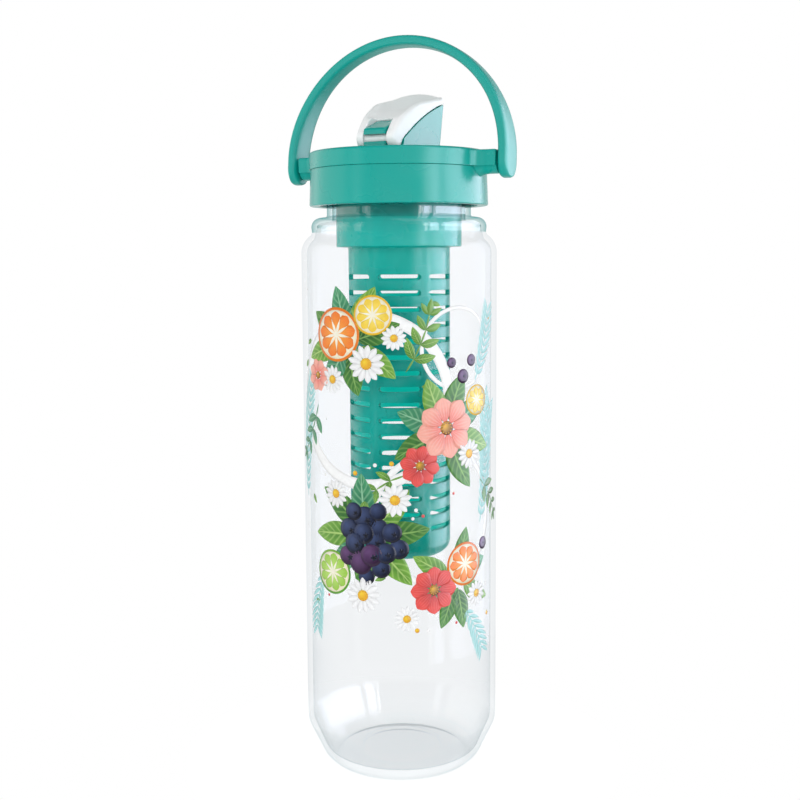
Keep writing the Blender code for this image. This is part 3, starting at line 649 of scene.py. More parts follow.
fit_piece(bottle, "bottle", "clear_plastic", "bottle_body", clear_wall, clear_neck, clear_heel)
for face in bottle.data.polygons:
    reach, height = face.center.xy.length / MM, face.center.z / MM
    if height > NECK_FACES and face.normal.z > -0.5:
        face.material_index = 1
    elif reach > HEEL_FACES[0] and height < HEEL_FACES[1]:
        face.material_index = 2
print("bottle shell:", len(bottle.data.polygons), "faces, radius", round(BODY, 2), "mm")

# %% [markdown]
# ## Screw threads
# One ridge winds round the outside of the neck, and one winds inside the collar to catch it.
# A ridge is a sweep: a small trapezium carried along a helix, with its height eased to nothing
# at both ends. The two ridges pass each other, because the lid also lifts straight off here.

# %% Wind the threads
THREAD_RISE = 4.2
THREAD_STEPS = 72
RIDGE = ((0.0, -1.0), (0.75, -0.62), (1.0, -0.3), (1.0, 0.3), (0.75, 0.62), (0.0, 1.0))


def wind_ridge(name, radius, height, foot, turns, half_width):
    """A ridge along a helix; a negative height makes it stand inwards."""
    steps = int(turns * THREAD_STEPS)
    sections = []
    for step in range(steps + 1):
        share = step / steps
        angle = 2.0 * pi * turns * share
        ease = min(1.0, share * turns * 6.0, (1.0 - share) * turns * 6.0)
        stand = height * sin(0.5 * pi * max(ease, 0.06))
        middle = foot + THREAD_RISE * turns * share
        line = [(radius + stand * out, middle + half_width * lift) for out, lift in RIDGE]
        sections.append([(*polar(reach, angle), z) for reach, z in line])
    return skin(name, sections, 60.0)


neck_thread = wind_ridge("neck_thread", NECK - 0.05, 1.2, 211.6, 1.6, 1.0)
fit_piece(neck_thread, "bottle", "clear_plastic", None, clear_neck)
collar_thread = wind_ridge("collar_thread", 29.25, -1.0, box("screw_collar")[0].z + 1.6, 1.2, 0.9)
fit_piece(collar_thread, "lid", "teal_plastic", None, teal_lid)
print("threads:", len(neck_thread.data.polygons) + len(collar_thread.data.polygons), "faces")

# %% [markdown]
# ## The infuser basket
# The basket is a deep cup with six columns of slots. Cutting a hundred slots with Booleans is
# slow and leaves long thin faces. A grid wrapped round the cup is cleaner: leave out the faces
# where a slot is, and bend the grid's rows so that each slot gets round ends.

# %% Mark the slots
SLOT_COLUMNS = 6
SLOT_ROWS = 17
SLOT_ANGLE = 49.0
SLOT_TURN = 64.0
SLOT_HEIGHT = 1.9
SLOT_PITCH = 5.8
SLOT_FIRST = 19.6
SLOT_END = ((0.0, 0.35), (1.2, 0.82), (2.8, 1.0), (5.0, 1.0))


def slot_marks():
    """Angles round the basket, each with how far a slot is open there; a rail ends each column."""
    marks = []
    full = SLOT_ANGLE - 2.0 * SLOT_END[-1][0]
    for column in range(SLOT_COLUMNS):
        start = 360.0 / SLOT_COLUMNS * column - 0.5 * SLOT_ANGLE - SLOT_TURN
        marks += [(start + offset, share) for offset, share in SLOT_END]
        marks += [(start + SLOT_END[-1][0] + full * step / 7.0, 1.0) for step in range(1, 7)]
        marks += [(start + SLOT_ANGLE - offset, share) for offset, share in reversed(SLOT_END)]
        marks.append((start + SLOT_ANGLE + 0.5 * (360.0 / SLOT_COLUMNS - SLOT_ANGLE), SLOT_END[0][1]))
    return [(radians(angle), share) for angle, share in marks]


print("marks round the basket:", len(slot_marks()))

# %% Build the basket
HEAD = 21.3
HEAD_HEIGHT = 9.3
CUP = 18.9
CUP_WALL = 1.6
CUP_CORNER = 5.0


def build_basket():
    """The cup as a grid of quads with the slots left open."""
    marks = slot_marks()
    bottom, top = [corner.z for corner in box("infuser_basket")]
    foot = top - HEAD_HEIGHT
    rows = [(HEAD - 0.3, top, 0.0), (HEAD, top - 0.3, 0.0), (HEAD, foot + 0.3, 0.0),
            (HEAD - 0.3, foot, 0.0), (CUP + 0.5, foot - 0.3, 0.0), (CUP, foot - 0.8, 0.0)]
    open_rows = range(len(rows), len(rows) + 2 * SLOT_ROWS, 2)
    for row in range(SLOT_ROWS):
        middle = top - SLOT_FIRST - SLOT_PITCH * row - 0.5 * SLOT_HEIGHT
        rows += [(CUP, middle, 0.5 * SLOT_HEIGHT), (CUP, middle, -0.5 * SLOT_HEIGHT)]
    corner = arc((CUP - CUP_CORNER, bottom + CUP_CORNER), CUP_CORNER, 0.0, -90.0, 8)
    rows += [(radius, height, 0.0) for radius, height in corner]
    drain = len(rows)
    rows += [(11.5, bottom, 0.0), (5.0, bottom, 0.0)]
    bm = bmesh.new()
    rings = []
    for radius, height, half in rows:
        points = [(*polar(radius, angle), height + half * share) for angle, share in marks]
        rings.append([bm.verts.new(point) for point in points])
    count = len(marks)
    per_column = count // SLOT_COLUMNS
    for level, (ring, lower) in enumerate(zip(rings, rings[1:])):
        for step in range(count):
            place = step % per_column
            if level in open_rows and place < per_column - 2:
                continue
            if level == drain and 3 <= place < per_column - 5:
                continue
            after = (step + 1) % count
            bm.faces.new((ring[step], lower[step], lower[after], ring[after]))
    pole = bm.verts.new((0.0, 0.0, bottom))
    for step in range(count):
        bm.faces.new((rings[-1][step], pole, rings[-1][(step + 1) % count]))
    return to_object("basket_shell", bm)


basket = build_basket()
modify(basket, "wall", "SOLIDIFY", thickness=CUP_WALL * MM, offset=-1.0, use_even_offset=True,
       material_offset=1)
modify(basket, "soft edges", "BEVEL", width=0.22 * MM, segments=2, limit_method="ANGLE",
       angle_limit=radians(50.0))
fit_piece(basket, "basket", "teal_plastic", "infuser_basket", teal_basket, basket_inside)
print("basket slots:", SLOT_COLUMNS * SLOT_ROWS)

# %% [markdown]
# ## The lid's top shell
# On the real lid the deck, the band, the ears and the spout come out of one mould, so they flow
# into each other. The round parts are turned. The ears are skinned through sections that swell
# towards the band along a fillet's arc, and each boss flares where it meets the collar.

# %% Turn the deck and the collar
GAP = 0.3
SWING_GAP = 0.4
LID_SEAT = box("screw_collar")[1].z + GAP
DECK = LID_SEAT + 6.3
DECK_THICKNESS = 3.2
BAND = 33.0
SPIGOT_BORE, SPIGOT, SPIGOT_FOOT = 28.9, 30.9, LID_SEAT - 4.4
PLUG_BORE, PLUG, PLUG_FOOT = 19.3, 21.3, LID_SEAT - 13.4
COLLAR_BORE = 29.2
COLLAR_TOP = LID_SEAT - 0.06

lid = turned("lid_shell", soften([
    (0.0, DECK, 0.0), (BAND, DECK, 1.3), (BAND, LID_SEAT, 0.25), (SPIGOT, LID_SEAT, 0.0),
    (SPIGOT, SPIGOT_FOOT, 0.3), (SPIGOT_BORE, SPIGOT_FOOT, 0.3), (SPIGOT_BORE, LID_SEAT, 0.0),
    (PLUG, LID_SEAT, 0.6), (PLUG, PLUG_FOOT, 0.6), (PLUG_BORE, PLUG_FOOT, 0.6),
    (PLUG_BORE, DECK - DECK_THICKNESS, 0.9), (0.0, DECK - DECK_THICKNESS, 0.0),
], 5), 160)
collar_low, collar_high = box("screw_collar")
collar = turned("collar_shell", soften([
    (COLLAR_BORE, collar_low.z, 0.5), (collar_high.x, collar_low.z, 0.7),
    (32.6, COLLAR_TOP, 0.15), (SPIGOT + GAP, COLLAR_TOP, 0.1),
    (SPIGOT + GAP, SPIGOT_FOOT - GAP, 0.2), (COLLAR_BORE, SPIGOT_FOOT - GAP, 0.3),
], 5), 160)
fit_piece(collar, "lid", "teal_plastic", "screw_collar", teal_lid)
print("deck and collar:", len(lid.data.polygons), len(collar.data.polygons), "faces")

# %% Grow the ears out of the band
EAR_END = 40.2
EAR_HALF = 5.0
EAR_TOP = DECK - 0.6
EAR_FILLET = 5.5
PIVOT_Z = DECK - 4.6
BOSS = 4.4
BOSS_FLARE = 3.2
BOSS_FOOT = 31.0
STUD_HOLE, STUD_DEPTH = 2.9, 3.8
OVER_SEAT = 12.0


def ear_section(side, x, half, inset):
    """The ear's upright outline at one place along the handle's axis."""
    wide, low, high = half - inset, LID_SEAT + inset, EAR_TOP - inset
    outline = soften([(-wide, low, 0.3), (wide, low, 0.3), (wide, high, 0.9), (-wide, high, 0.9)])
    return [(side * x, y, z) for y, z in outline]


def on_pivot(name, side, stations, steps=48):
    """A rod along the handle's axis through (distance, radius) stations."""
    return rod(name, [((side * x, 0.0, PIVOT_Z), radius) for x, radius in stations], steps)


def grow_ear(side, word):
    """One ear with its fillets, its flared boss and the blind hole for the handle's stud."""
    fillet_y = EAR_HALF + EAR_FILLET
    fillet_x = sqrt((BAND + EAR_FILLET) ** 2 - fillet_y ** 2)
    plan = arc((fillet_x, fillet_y), EAR_FILLET, -158.0, -90.0, 12)
    stations = [(BAND - 4.0, plan[0][1], 0.0)] + [(x, half, 0.0) for x, half in plan]
    for back, inset in ((0.6, 0.0), (0.3, 0.08), (0.1, 0.25), (0.0, 0.5)):
        stations.append((EAR_END - back, EAR_HALF, inset))
    ear = skin(f"ear_{word}", [ear_section(side, *station) for station in stations])
    line = []
    for share in (0.0, 0.08, 0.18, 0.3, 0.45, 0.62, 0.8, 1.0):
        flare = BOSS_FLARE * (1.0 - sqrt(1.0 - (1.0 - share) ** 2))
        line.append((BOSS_FOOT + 5.2 * share, BOSS + flare))
    line += [(EAR_END - back, BOSS - inset) for back, inset in ((0.5, 0.0), (0.15, 0.12), (0.0, 0.4))]
    boss = on_pivot(f"boss_{word}", side, line)
    cone = [((0.0, 0.0, LID_SEAT - 20.0), 33.3), ((0.0, 0.0, LID_SEAT), 32.7)]
    combine(boss, rod("collar_room", cone, 96), "DIFFERENCE")
    beam = [((side * x, 0.0, LID_SEAT + OVER_SEAT + GAP), OVER_SEAT * sqrt(2.0)) for x in (20.0, 50.0)]
    combine(boss, rod("above_the_seat", beam, 4), "DIFFERENCE")
    combine(ear, boss, "UNION")
    hole = [(EAR_END - STUD_DEPTH, STUD_HOLE), (EAR_END + 1.0, STUD_HOLE)]
    combine(ear, on_pivot("stud_hole", side, hole, 32), "DIFFERENCE")
    return ear


for ear_side, ear_word in ((1.0, "right"), (-1.0, "left")):
    combine(lid, grow_ear(ear_side, ear_word), "UNION")
print("lid with its ears:", len(lid.data.polygons), "faces")

# %% [markdown]
# ## The spout and its hinge block
# The spout is a wedge whose top edge follows one gentle curve, and the cap's lower edge repeats
# it a hair above, so the seam stays even when the cap is shut. Both are written with the same
# formula. The hinge block leans back from its nose and then runs round the hinge's axis.

# %% Write the seam and the rods
HINGE_Y = -16.2
HINGE_Z = DECK + 3.8
LOBE = 3.4
HALF_WIDTH = 8.0
HALF_TAPER = 0.12
CAP_LENGTH = 31.9
SPOUT_WALL = 2.0
SEAM_GAP = 0.18
MOUTH_DISTANCE = 0.66 * CAP_LENGTH
MOUTH_RADIUS = 4.4
MOUTH_RIM = 5.7
MOUTH_RISE = 0.9


def seam(s):
    """Height over the hinge of the line where cap and spout meet, s millimetres behind the hinge."""
    return -2.78 + 0.81 * s - s * s / 123.5


def at_hinge(s, height, across):
    """A point given by its place behind, over and across the hinge."""
    return (across * (HALF_WIDTH + HALF_TAPER * s), HINGE_Y + s, HINGE_Z + height)


def hinge_rod(half, radius, steps=64):
    """A rod on the cap's hinge axis."""
    return rod("hinge_rod", [((x, HINGE_Y, HINGE_Z), radius) for x in (-half, half)], steps)


def mouth_rod(*stations):
    """A rod on the drinking hole's axis, square to the line from the hinge."""
    middle = seam(MOUTH_DISTANCE) - SWING_GAP
    lean = atan2(middle, MOUTH_DISTANCE)
    y, z = HINGE_Y + MOUTH_DISTANCE, HINGE_Z + middle
    return rod("mouth_rod", [
        ((0.0, y - rise * sin(lean), z + rise * cos(lean)), radius) for rise, radius in stations
    ])


print("seam at the cap's tip:", round(seam(CAP_LENGTH), 2), "mm over the hinge")

# %% Raise the spout


def spout_block(name, shrink, drop, foot, corner):
    """The spout's wedge, or the room inside it, skinned from one side to the other."""
    first = 0.35 * LOBE + 2.6 * shrink
    sections = []
    for step in range(-20, 21):
        across = sin(0.5 * pi * step / 20)
        share = max(abs(across) - 0.74, 0.0) / 0.26
        back = CAP_LENGTH + GAP - shrink - corner * (1.0 - sqrt(max(1.0 - share * share, 0.0)))
        places = [first + (back - first) * i / 24 for i in range(25)]
        line = [(first, foot)] + [(s, seam(s) - drop) for s in places] + [(back - 3.4, foot)]
        sections.append([
            (across * (HALF_WIDTH + HALF_TAPER * s - shrink), HINGE_Y + s, HINGE_Z + h) for s, h in line
        ])
    return skin(name, sections)


spout_foot = DECK - 0.5 * DECK_THICKNESS - HINGE_Z
room_foot = spout_foot - DECK_THICKNESS
spout = spout_block("spout", 0.0, SEAM_GAP, spout_foot, 1.6)
combine(spout, hinge_rod(2.0 * HALF_WIDTH, LOBE + SWING_GAP), "DIFFERENCE")
combine(spout, mouth_rod((-SPOUT_WALL, MOUTH_RIM), (MOUTH_RISE - 0.35, MOUTH_RIM),
                         (MOUTH_RISE - 0.1, MOUTH_RIM - 0.12), (MOUTH_RISE, MOUTH_RIM - 0.4)), "UNION")
combine(lid, spout, "UNION")
combine(lid, spout_block("spout_room", SPOUT_WALL, SWING_GAP + SPOUT_WALL, room_foot, 1.0), "DIFFERENCE")
combine(lid, mouth_rod((-6.0, MOUTH_RADIUS), (2.0, MOUTH_RADIUS)), "DIFFERENCE")
print("lid with its spout:", len(lid.data.polygons), "faces")

# %% Set the hinge block
KNUCKLE_HALF = 4.25
KNUCKLE_RADIUS = 9.7
KNUCKLE_TOP = 6.9
KNUCKLE_FRONT = 3.4
KNUCKLE_NOSE = 3.3
KNUCKLE_EDGE = ((0.0, 0.45), (0.1, 0.2), (0.3, 0.05), (0.6, 0.0))
BAR = 1.6
SLIT_HALF = 1.3

top_angle = degrees(asin(KNUCKLE_TOP / KNUCKLE_RADIUS))
turn_over = arc((0.0, 0.0), KNUCKLE_RADIUS, top_angle, 0.0, 14)
block_line = soften([
    (-KNUCKLE_FRONT, spout_foot, 0.0), (-KNUCKLE_FRONT, KNUCKLE_NOSE, 1.4),
    (*turn_over[0], 0.0), (KNUCKLE_RADIUS, spout_foot, 0.0),
], 6)
block_line = block_line[:-2] + turn_over + [(KNUCKLE_RADIUS, spout_foot)]
block_stations = [(back - KNUCKLE_HALF, ease) for back, ease in KNUCKLE_EDGE]
block_stations += [(KNUCKLE_HALF - back, ease) for back, ease in reversed(KNUCKLE_EDGE)]
block_sections = []
for x, ease in block_stations:
    pull = 1.0 - ease / KNUCKLE_RADIUS
    drawn_in = [(s * pull, h * pull if h > 0.0 else h) for s, h in block_line]
    block_sections.append([(x, HINGE_Y + s, HINGE_Z + h) for s, h in drawn_in])
knuckle = skin("hinge_block", block_sections)
combine(knuckle, hinge_rod(2.0 * KNUCKLE_HALF, BAR + GAP), "DIFFERENCE")
slit_line = ((-7.0, -SLIT_HALF), (0.0, -SLIT_HALF), (0.0, SLIT_HALF), (-7.0, SLIT_HALF))
slit = skin("bar_slit", [[(x, HINGE_Y + s, HINGE_Z + h) for s, h in slit_line] for x in (-8.0, 8.0)])
combine(knuckle, slit, "DIFFERENCE")
combine(lid, knuckle, "UNION")
print("open edges left in the lid:", close_slits(lid))
weigh_normals(lid)
fit_piece(lid, "lid", "teal_plastic", "lid_top", teal_lid)
print("lid shell:", len(lid.data.polygons), "faces")

# %% [markdown]
# ## The flip cap
# The cap has two arms that clip round the hinge block, a thumb dish between two ridges, and a
# lip to push it open. It is skinned from side to side through some forty outlines. Moulded caps
# have no sharp edge at all, so a fine voxel remesh and a few smoothing passes round every edge.

# %% Draw the cap's outlines
CREST = 0.87
DISH_EDGE = 0.81
DISH_DEPTH = 2.7
LIP_RISE = 1.7
EDGE_ROUND = 1.9
SEAM_ROUND = 0.25


def smooth_step(value):
    """Ease from 0 to 1."""
    value = min(max(value, 0.0), 1.0)
    return value * value * (3.0 - 2.0 * value)


def lower_of(first, second, softness):
    """The lower of two heights, with the corner between them rounded."""
    return -softness * log(exp(-first / softness) + exp(-second / softness))


def cap_ridge(s, inset):
    """The ridges' height: steep over the arms, straight to the brow, then gentle to the tip."""
    steep = 2.35 + 1.05 * (s + 2.45) - 1.45 * inset
    straight = 6.5 + 0.53 * s - 1.13 * inset
    gentle = 13.9 + 0.20 * (s - 14.0) - 1.03 * inset
    return lower_of(lower_of(steep, straight, 0.5), gentle, 0.45)


def cap_top(s, across, inset):
    """Height of the cap's top over the hinge."""
    tip = smooth_step((s / CAP_LENGTH - 0.5) / 0.5)
    dish = DISH_DEPTH * smooth_step((s - 1.9) / (0.19 * CAP_LENGTH)) * (1.0 - tip)
    share = min(abs(across) / DISH_EDGE, 1.0)
    return cap_ridge(s, inset) - dish * (1.0 - share ** 5) + LIP_RISE * tip * (1.0 - share ** 2)


def cap_outline(across):
    """The cap's side outline at one share of its half-width, as points behind and over the hinge."""
    edge = max(abs(across) - CREST, 0.0) / (1.0 - CREST)
    inset = EDGE_ROUND * (1.0 - sqrt(max(1.0 - edge * edge, 0.0)))
    low = min(inset, SEAM_ROUND)
    line = arc((0.0, 0.0), LOBE - inset, -2.0 - 43.0 * inset / EDGE_ROUND, -224.0, 26)
    seam_foot = (2.88 - low + line[0][1]) / 0.79
    start, end = line[-1][0], CAP_LENGTH - 0.4 * inset
    top_end = cap_top(end, across, inset)
    low_end = seam(end) + low
    along_top = [start + (end - 1.2 - start) * step / 36 for step in range(1, 37)]
    line += [(s, cap_top(s, across, inset)) for s in along_top]
    line += [(end - 0.35, top_end - 0.15), (end, top_end - 0.8), (end, low_end + 0.4 * (top_end - low_end)),
             (end, low_end + 0.25), (end - 0.25, low_end)]
    along_seam = [end - 0.25 + (seam_foot + 0.25 - end) * step / 24 for step in range(1, 25)]
    return line + [(s, seam(s) + low) for s in along_seam]


print("cap outline:", len(cap_outline(0.0)), "points")

# %% Shape the cap
CAP_SKIN = 1.9
shares = [sin(0.5 * pi * step / 22) for step in range(-22, 23)]
cap = skin("cap_shell", [[at_hinge(s, h, across) for s, h in cap_outline(across)] for across in shares])

room_start = KNUCKLE_RADIUS + SWING_GAP + CAP_SKIN
room_end = CAP_LENGTH - 1.4 * CAP_SKIN
room_half = 1.0 - 1.2 * CAP_SKIN / HALF_WIDTH
places = [room_start + (room_end - room_start) * i / 12 for i in range(13)]
room_sections = []
for across in (-1.0, -0.8, -0.5, 0.0, 0.5, 0.8, 1.0):
    line = [(s, seam(s) - CAP_SKIN) for s in places]
    line += [(s, cap_top(s, room_half * across, 0.0) - CAP_SKIN) for s in reversed(places)]
    room_sections.append([at_hinge(s, h, room_half * across) for s, h in line])
combine(cap, hinge_rod(KNUCKLE_HALF + SWING_GAP, KNUCKLE_RADIUS + SWING_GAP), "DIFFERENCE")
combine(cap, skin("cap_room", room_sections), "DIFFERENCE")
combine(cap, hinge_rod(KNUCKLE_HALF + SWING_GAP + 0.6, BAR, 40), "UNION")
combine(cap, mouth_rod((-MOUTH_RISE, MOUTH_RIM + GAP), (MOUTH_RISE + 1.4, MOUTH_RIM + GAP)), "DIFFERENCE")
modify(cap, "voxels", "REMESH", mode="VOXEL", voxel_size=0.26 * MM, use_smooth_shade=True)
modify(cap, "relax", "SMOOTH", factor=0.5, iterations=3)
bake(cap, 70.0)
fit_piece(cap, "flip_cap", "white_plastic", "flip_cap", white_cap)
print("cap shell:", len(cap.data.polygons), "faces")

# %% [markdown]
# ## The handle
# The hoop keeps one soft-cornered section that narrows from the arms to the top. A curve with a
# bevel can't change its width and depth apart from each other, so the section is written as a
# rounded square and carried along the arms and the half circle.

# %% Bend the handle
ARM_OUTER = box("handle")[1].x
ARM_THICKNESS = 4.0
CROWN_THICKNESS = 3.7
ARM_WIDTH = 12.0
CROWN_WIDTH = 7.8
HANDLE_REACH = 47.0
HANDLE_LEAN = radians(4.5)
SECTION_SIDES = 40
SECTION_POWER = 0.52


def hoop_stations():
    """Height, width share and turn of each section, from one arm's end to the other's."""
    stations = []
    for step in range(1, 9):
        angle = 0.5 * pi * (1.0 - step / 8.5)
        stations.append((-0.5 * ARM_WIDTH * sin(angle), cos(angle), 0.0))
    stations.append((0.0, 1.0, 0.0))
    for step in range(1, 41):
        turn = 0.5 * pi * step / 40
        stations.append((HANDLE_REACH - ARM_OUTER + ARM_OUTER * sin(turn), 1.0, turn))
    return stations + [(z, share, pi - turn) for z, share, turn in reversed(stations[:-1])]


def swell(value):
    """A cosine or sine, pushed outwards so that a circle turns into a rounded square."""
    return copysign(abs(value) ** SECTION_POWER, value)


def hoop_section(z, share, turn):
    """One soft-cornered section of the hoop."""
    crown = smooth_step(sin(turn))
    half_width = 0.5 * (ARM_WIDTH + (CROWN_WIDTH - ARM_WIDTH) * crown) * share
    full_depth = 0.5 * (ARM_THICKNESS + (CROWN_THICKNESS - ARM_THICKNESS) * crown)
    half_depth = full_depth * (0.45 + 0.55 * min(share * 1.8, 1.0))
    out, up = polar(1.0, turn)
    section = []
    for c, s in circle_points(SECTION_SIDES, 0.5):
        reach = half_depth * swell(c) - full_depth
        section.append(((ARM_OUTER + reach) * out, half_width * swell(s), z + reach * up))
    return section


hoop = skin("handle_hoop", [hoop_section(*station) for station in hoop_stations()], 60.0)
hoop.data.transform(Matrix.Translation((0.0, 0.0, PIVOT_Z * MM)) @ Matrix.Rotation(-HANDLE_LEAN, 4, "X"))
stud = [(x, STUD_HOLE - GAP) for x in (EAR_END - STUD_DEPTH + GAP, ARM_OUTER - 0.5 * ARM_THICKNESS)]
for ear_side in (1.0, -1.0):
    combine(hoop, on_pivot("stud", ear_side, stud, 32), "UNION")
weigh_normals(hoop)
fit_piece(hoop, "handle", "teal_plastic", "handle", teal_handle)
print("handle:", len(hoop.data.polygons), "faces")

# %% [markdown]
# ## The rings under the lid
# Inside the neck hang the basket's socket ring and its seal, and a thicker seal lies on the rim.
# All are round, so they are turned again, with the soft lips that moulded rubber has. Each ring
# fills its packed ring's box, and a drawn-in waist makes the lips of a seal.

# %% Turn the socket ring and the seals
RINGS = {
    "infuser_collar": ("socket_ring", "lid", "teal_plastic", teal_ring, 21.6, 0.5, 0.0),
    "infuser_seal": ("socket_seal", "lid", "silicone", seal_rubber, 21.6, 0.3, 0.25),
    "lid_seal": ("rim_seal", "seal_ring", "silicone", seal_rubber, 25.0, 0.5, 0.45),
}
for node, (name, body, slot, material, bore, corner, waist) in RINGS.items():
    low, high = box(node)
    middle = 0.5 * (low.z + high.z)
    ring = turned(name, soften([
        (bore, low.z, corner), (high.x, low.z, corner), (high.x - waist, middle, corner),
        (high.x, high.z, corner), (bore, high.z, corner), (bore + waist, middle, corner),
    ]))
    fit_piece(ring, body, slot, node, material)
print("rings turned:", len(RINGS))

# %% [markdown]
# ## Inks for the print
# The bottle is printed across its front with a summer pattern. Such prints are thin layers of
# opaque ink, cured on the wall, with white under the colours. Every stroke below keeps its place
# as a vertex colour: across, along and tint. A material reads that place to draw leaf veins,
# petal streaks and the bloom on a berry, so the detail follows each stroke.

# %% Read the place on a stroke
INK_WHITE = (0.93, 0.93, 0.93)
INK_THROUGH = 0.22


class Ink(Finish):
    """A finish that knows its place on a stroke."""

    def __init__(self, name):
        super().__init__(name)
        place = self.add("VertexColor", layer_name="place")["Color"]
        parts = self.add("SeparateColor", {0: place})
        self.across, self.along, self.tint = parts["Red"], parts["Green"], parts["Blue"]
        off_middle = self.times(self.calc("SUBTRACT", self.across, 0.5), 2.0)
        self.edge = self.calc("ABSOLUTE", off_middle)

    def pick(self, colours):
        """One colour of a short list, picked by the stroke's tint."""
        if len(colours) == 1:
            return (*colours[0], 1.0)
        picked = self.add("ValToRGB", {"Fac": self.tint})["Color"]
        picked.node.color_ramp.interpolation = "CONSTANT"
        stops = picked.node.color_ramp.elements
        while len(stops) < len(colours):
            stops.new(0.5)
        for i, colour in enumerate(colours):
            stops[i].position = max(0.0, (i - 0.5) / (len(colours) - 1))
            stops[i].color = (*colour, 1.0)
        return picked

    def wash(self, amount, first, second):
        """Fade from one picked colour to another."""
        return self.mix(amount, self.pick(first), self.pick(second))

    def stripes(self, first, first_turns, second, second_turns):
        """Soft stripes from 0 to 1 that run slantwise over a stroke."""
        phase = self.plus(self.times(first, first_turns), self.times(second, second_turns))
        return self.spread(self.calc("SINE", self.times(phase, 2.0 * pi)), 0.0, 1.0, 0.1, 1.0)

    def cure(self, colour, gloss):
        """Cured ink: a faint screen grain in colour and gloss, and some light through the layer."""
        grain = self.speckle(900.0)
        grey = self.mix(self.spread(grain, 0.0, 1.0), (*INK_WHITE, 1.0), WHITE)
        return self.paint({
            "Base Color": self.mix(1.0, colour, grey, "MULTIPLY"),
            "Roughness": self.spread(grain, gloss, gloss + 0.10),
            "Normal": self.bump(grain, 0.00001, 0.1),
        }, INK_THROUGH)


print("ink light through the film:", INK_THROUGH)

# %% Leaf, petal and round inks
SHINE = (0.36, 0.66)


def leaf_ink(name, darks, lights, veins):
    """Leaves with a pale midrib, slanting side veins and a lighter tip."""
    ink = Ink(name)
    tip = ink.plus(ink.times(ink.along, 0.55), ink.times(ink.edge, 0.35))
    patch = ink.times(ink.calc("SUBTRACT", ink.speckle(420.0, 3.0), 0.5), 0.8)
    body = ink.wash(ink.plus(tip, patch), darks, lights)
    side_vein = ink.times(ink.stripes(ink.along, 7.0, ink.edge, -1.6), 0.38)
    vein = ink.calc("MAXIMUM", side_vein, ink.spread(ink.edge, 0.85, 0.0, 0.02, 0.12))
    return ink.cure(ink.mix(vein, body, ink.pick(veins)), 0.30)


def petal_ink(name, roots, tips, streaks, reach=0.6):
    """Petals that fade from root to tip, with fine streaks along them."""
    ink = Ink(name)
    body = ink.wash(ink.spread(ink.along, 0.0, 1.0, 0.0, reach), roots, tips)
    streak = ink.times(ink.stripes(ink.edge, 3.2, ink.along, 0.35), 0.34)
    return ink.cure(ink.mix(streak, body, ink.pick(streaks)), 0.32)


def round_ink(name, darks, lights):
    """Round things such as berries and pips, lighter towards the upper left."""
    ink = Ink(name)
    aside = ink.calc("SUBTRACT", ink.across, SHINE[0])
    above = ink.calc("SUBTRACT", ink.along, SHINE[1])
    far = ink.calc("SQRT", ink.plus(ink.times(aside, aside), ink.times(above, above)))
    bloom = ink.calc("SUBTRACT", ink.times(ink.speckle(700.0, 3.0), 0.22), 0.11)
    light = ink.plus(ink.spread(far, 1.0, 0.0, 0.0, 0.62), bloom)
    return ink.cure(ink.wash(light, darks, lights), 0.28)


print("ink recipes are ready")

# %% Mix the inks
GREENS_DARK = [(0.010, 0.085, 0.020), (0.035, 0.190, 0.020), (0.012, 0.150, 0.075)]
GREENS_LIGHT = [(0.090, 0.330, 0.045), (0.240, 0.520, 0.060), (0.080, 0.400, 0.180)]
GREENS_VEIN = [(0.300, 0.560, 0.140), (0.520, 0.740, 0.220), (0.350, 0.680, 0.420)]
PULPS = [(0.900, 0.190, 0.010), (0.900, 0.620, 0.030), (0.330, 0.620, 0.060)]
PULPS_PALE = [(0.960, 0.400, 0.050), (0.960, 0.800, 0.160), (0.560, 0.800, 0.200)]
RINDS = [(0.880, 0.230, 0.010), (0.900, 0.560, 0.020), (0.120, 0.380, 0.030)]
CORALS = [(0.52, 0.015, 0.025), (0.80, 0.10, 0.08)]
CORALS_PALE = [(0.82, 0.075, 0.065), (0.93, 0.42, 0.33)]
CORALS_STREAK = [(0.93, 0.25, 0.20), (0.97, 0.62, 0.52)]
DAISIES = [(0.72, 0.76, 0.66), (0.90, 0.62, 0.30)]
DAISIES_PALE = [INK_WHITE, (0.95, 0.88, 0.70)]
HEARTS = [(0.80, 0.36, 0.010), (0.16, 0.03, 0.01)]
HEARTS_PALE = [(0.95, 0.70, 0.04), (0.90, 0.50, 0.03)]
BERRIES = [(0.004, 0.006, 0.020), (0.030, 0.008, 0.040)]
BERRIES_PALE = [(0.050, 0.080, 0.200), (0.140, 0.060, 0.190)]
INKS = {
    "print_leaves": leaf_ink("leaf_ink", GREENS_DARK, GREENS_LIGHT, GREENS_VEIN),
    "print_sprays": petal_ink("spray_ink", [(0.30, 0.66, 0.66)], [(0.42, 0.76, 0.76)], [(0.55, 0.84, 0.84)]),
    "print_rinds": round_ink("rind_ink", RINDS, PULPS),
    "print_piths": round_ink("pith_ink", [(0.90, 0.84, 0.62)], [(0.95, 0.93, 0.82)]),
    "print_pulps": petal_ink("pulp_ink", PULPS_PALE, PULPS, PULPS_PALE, 0.9),
    "print_daisies": petal_ink("daisy_ink", DAISIES, DAISIES_PALE, [(0.80, 0.84, 0.88)], 0.35),
    "print_corals": petal_ink("coral_ink", CORALS, CORALS_PALE, CORALS_STREAK, 0.7),
    "print_hearts": round_ink("heart_ink", HEARTS, HEARTS_PALE),
    "print_berries": round_ink("berry_ink", BERRIES, BERRIES_PALE),
    "print_crowns": round_ink("crown_ink", [(0.001, 0.002, 0.008)], [(0.020, 0.030, 0.075)]),
    "print_circles": round_ink("circle_ink", [INK_WHITE], [(0.96, 0.96, 0.96)]),
}
print("inks:", len(INKS))

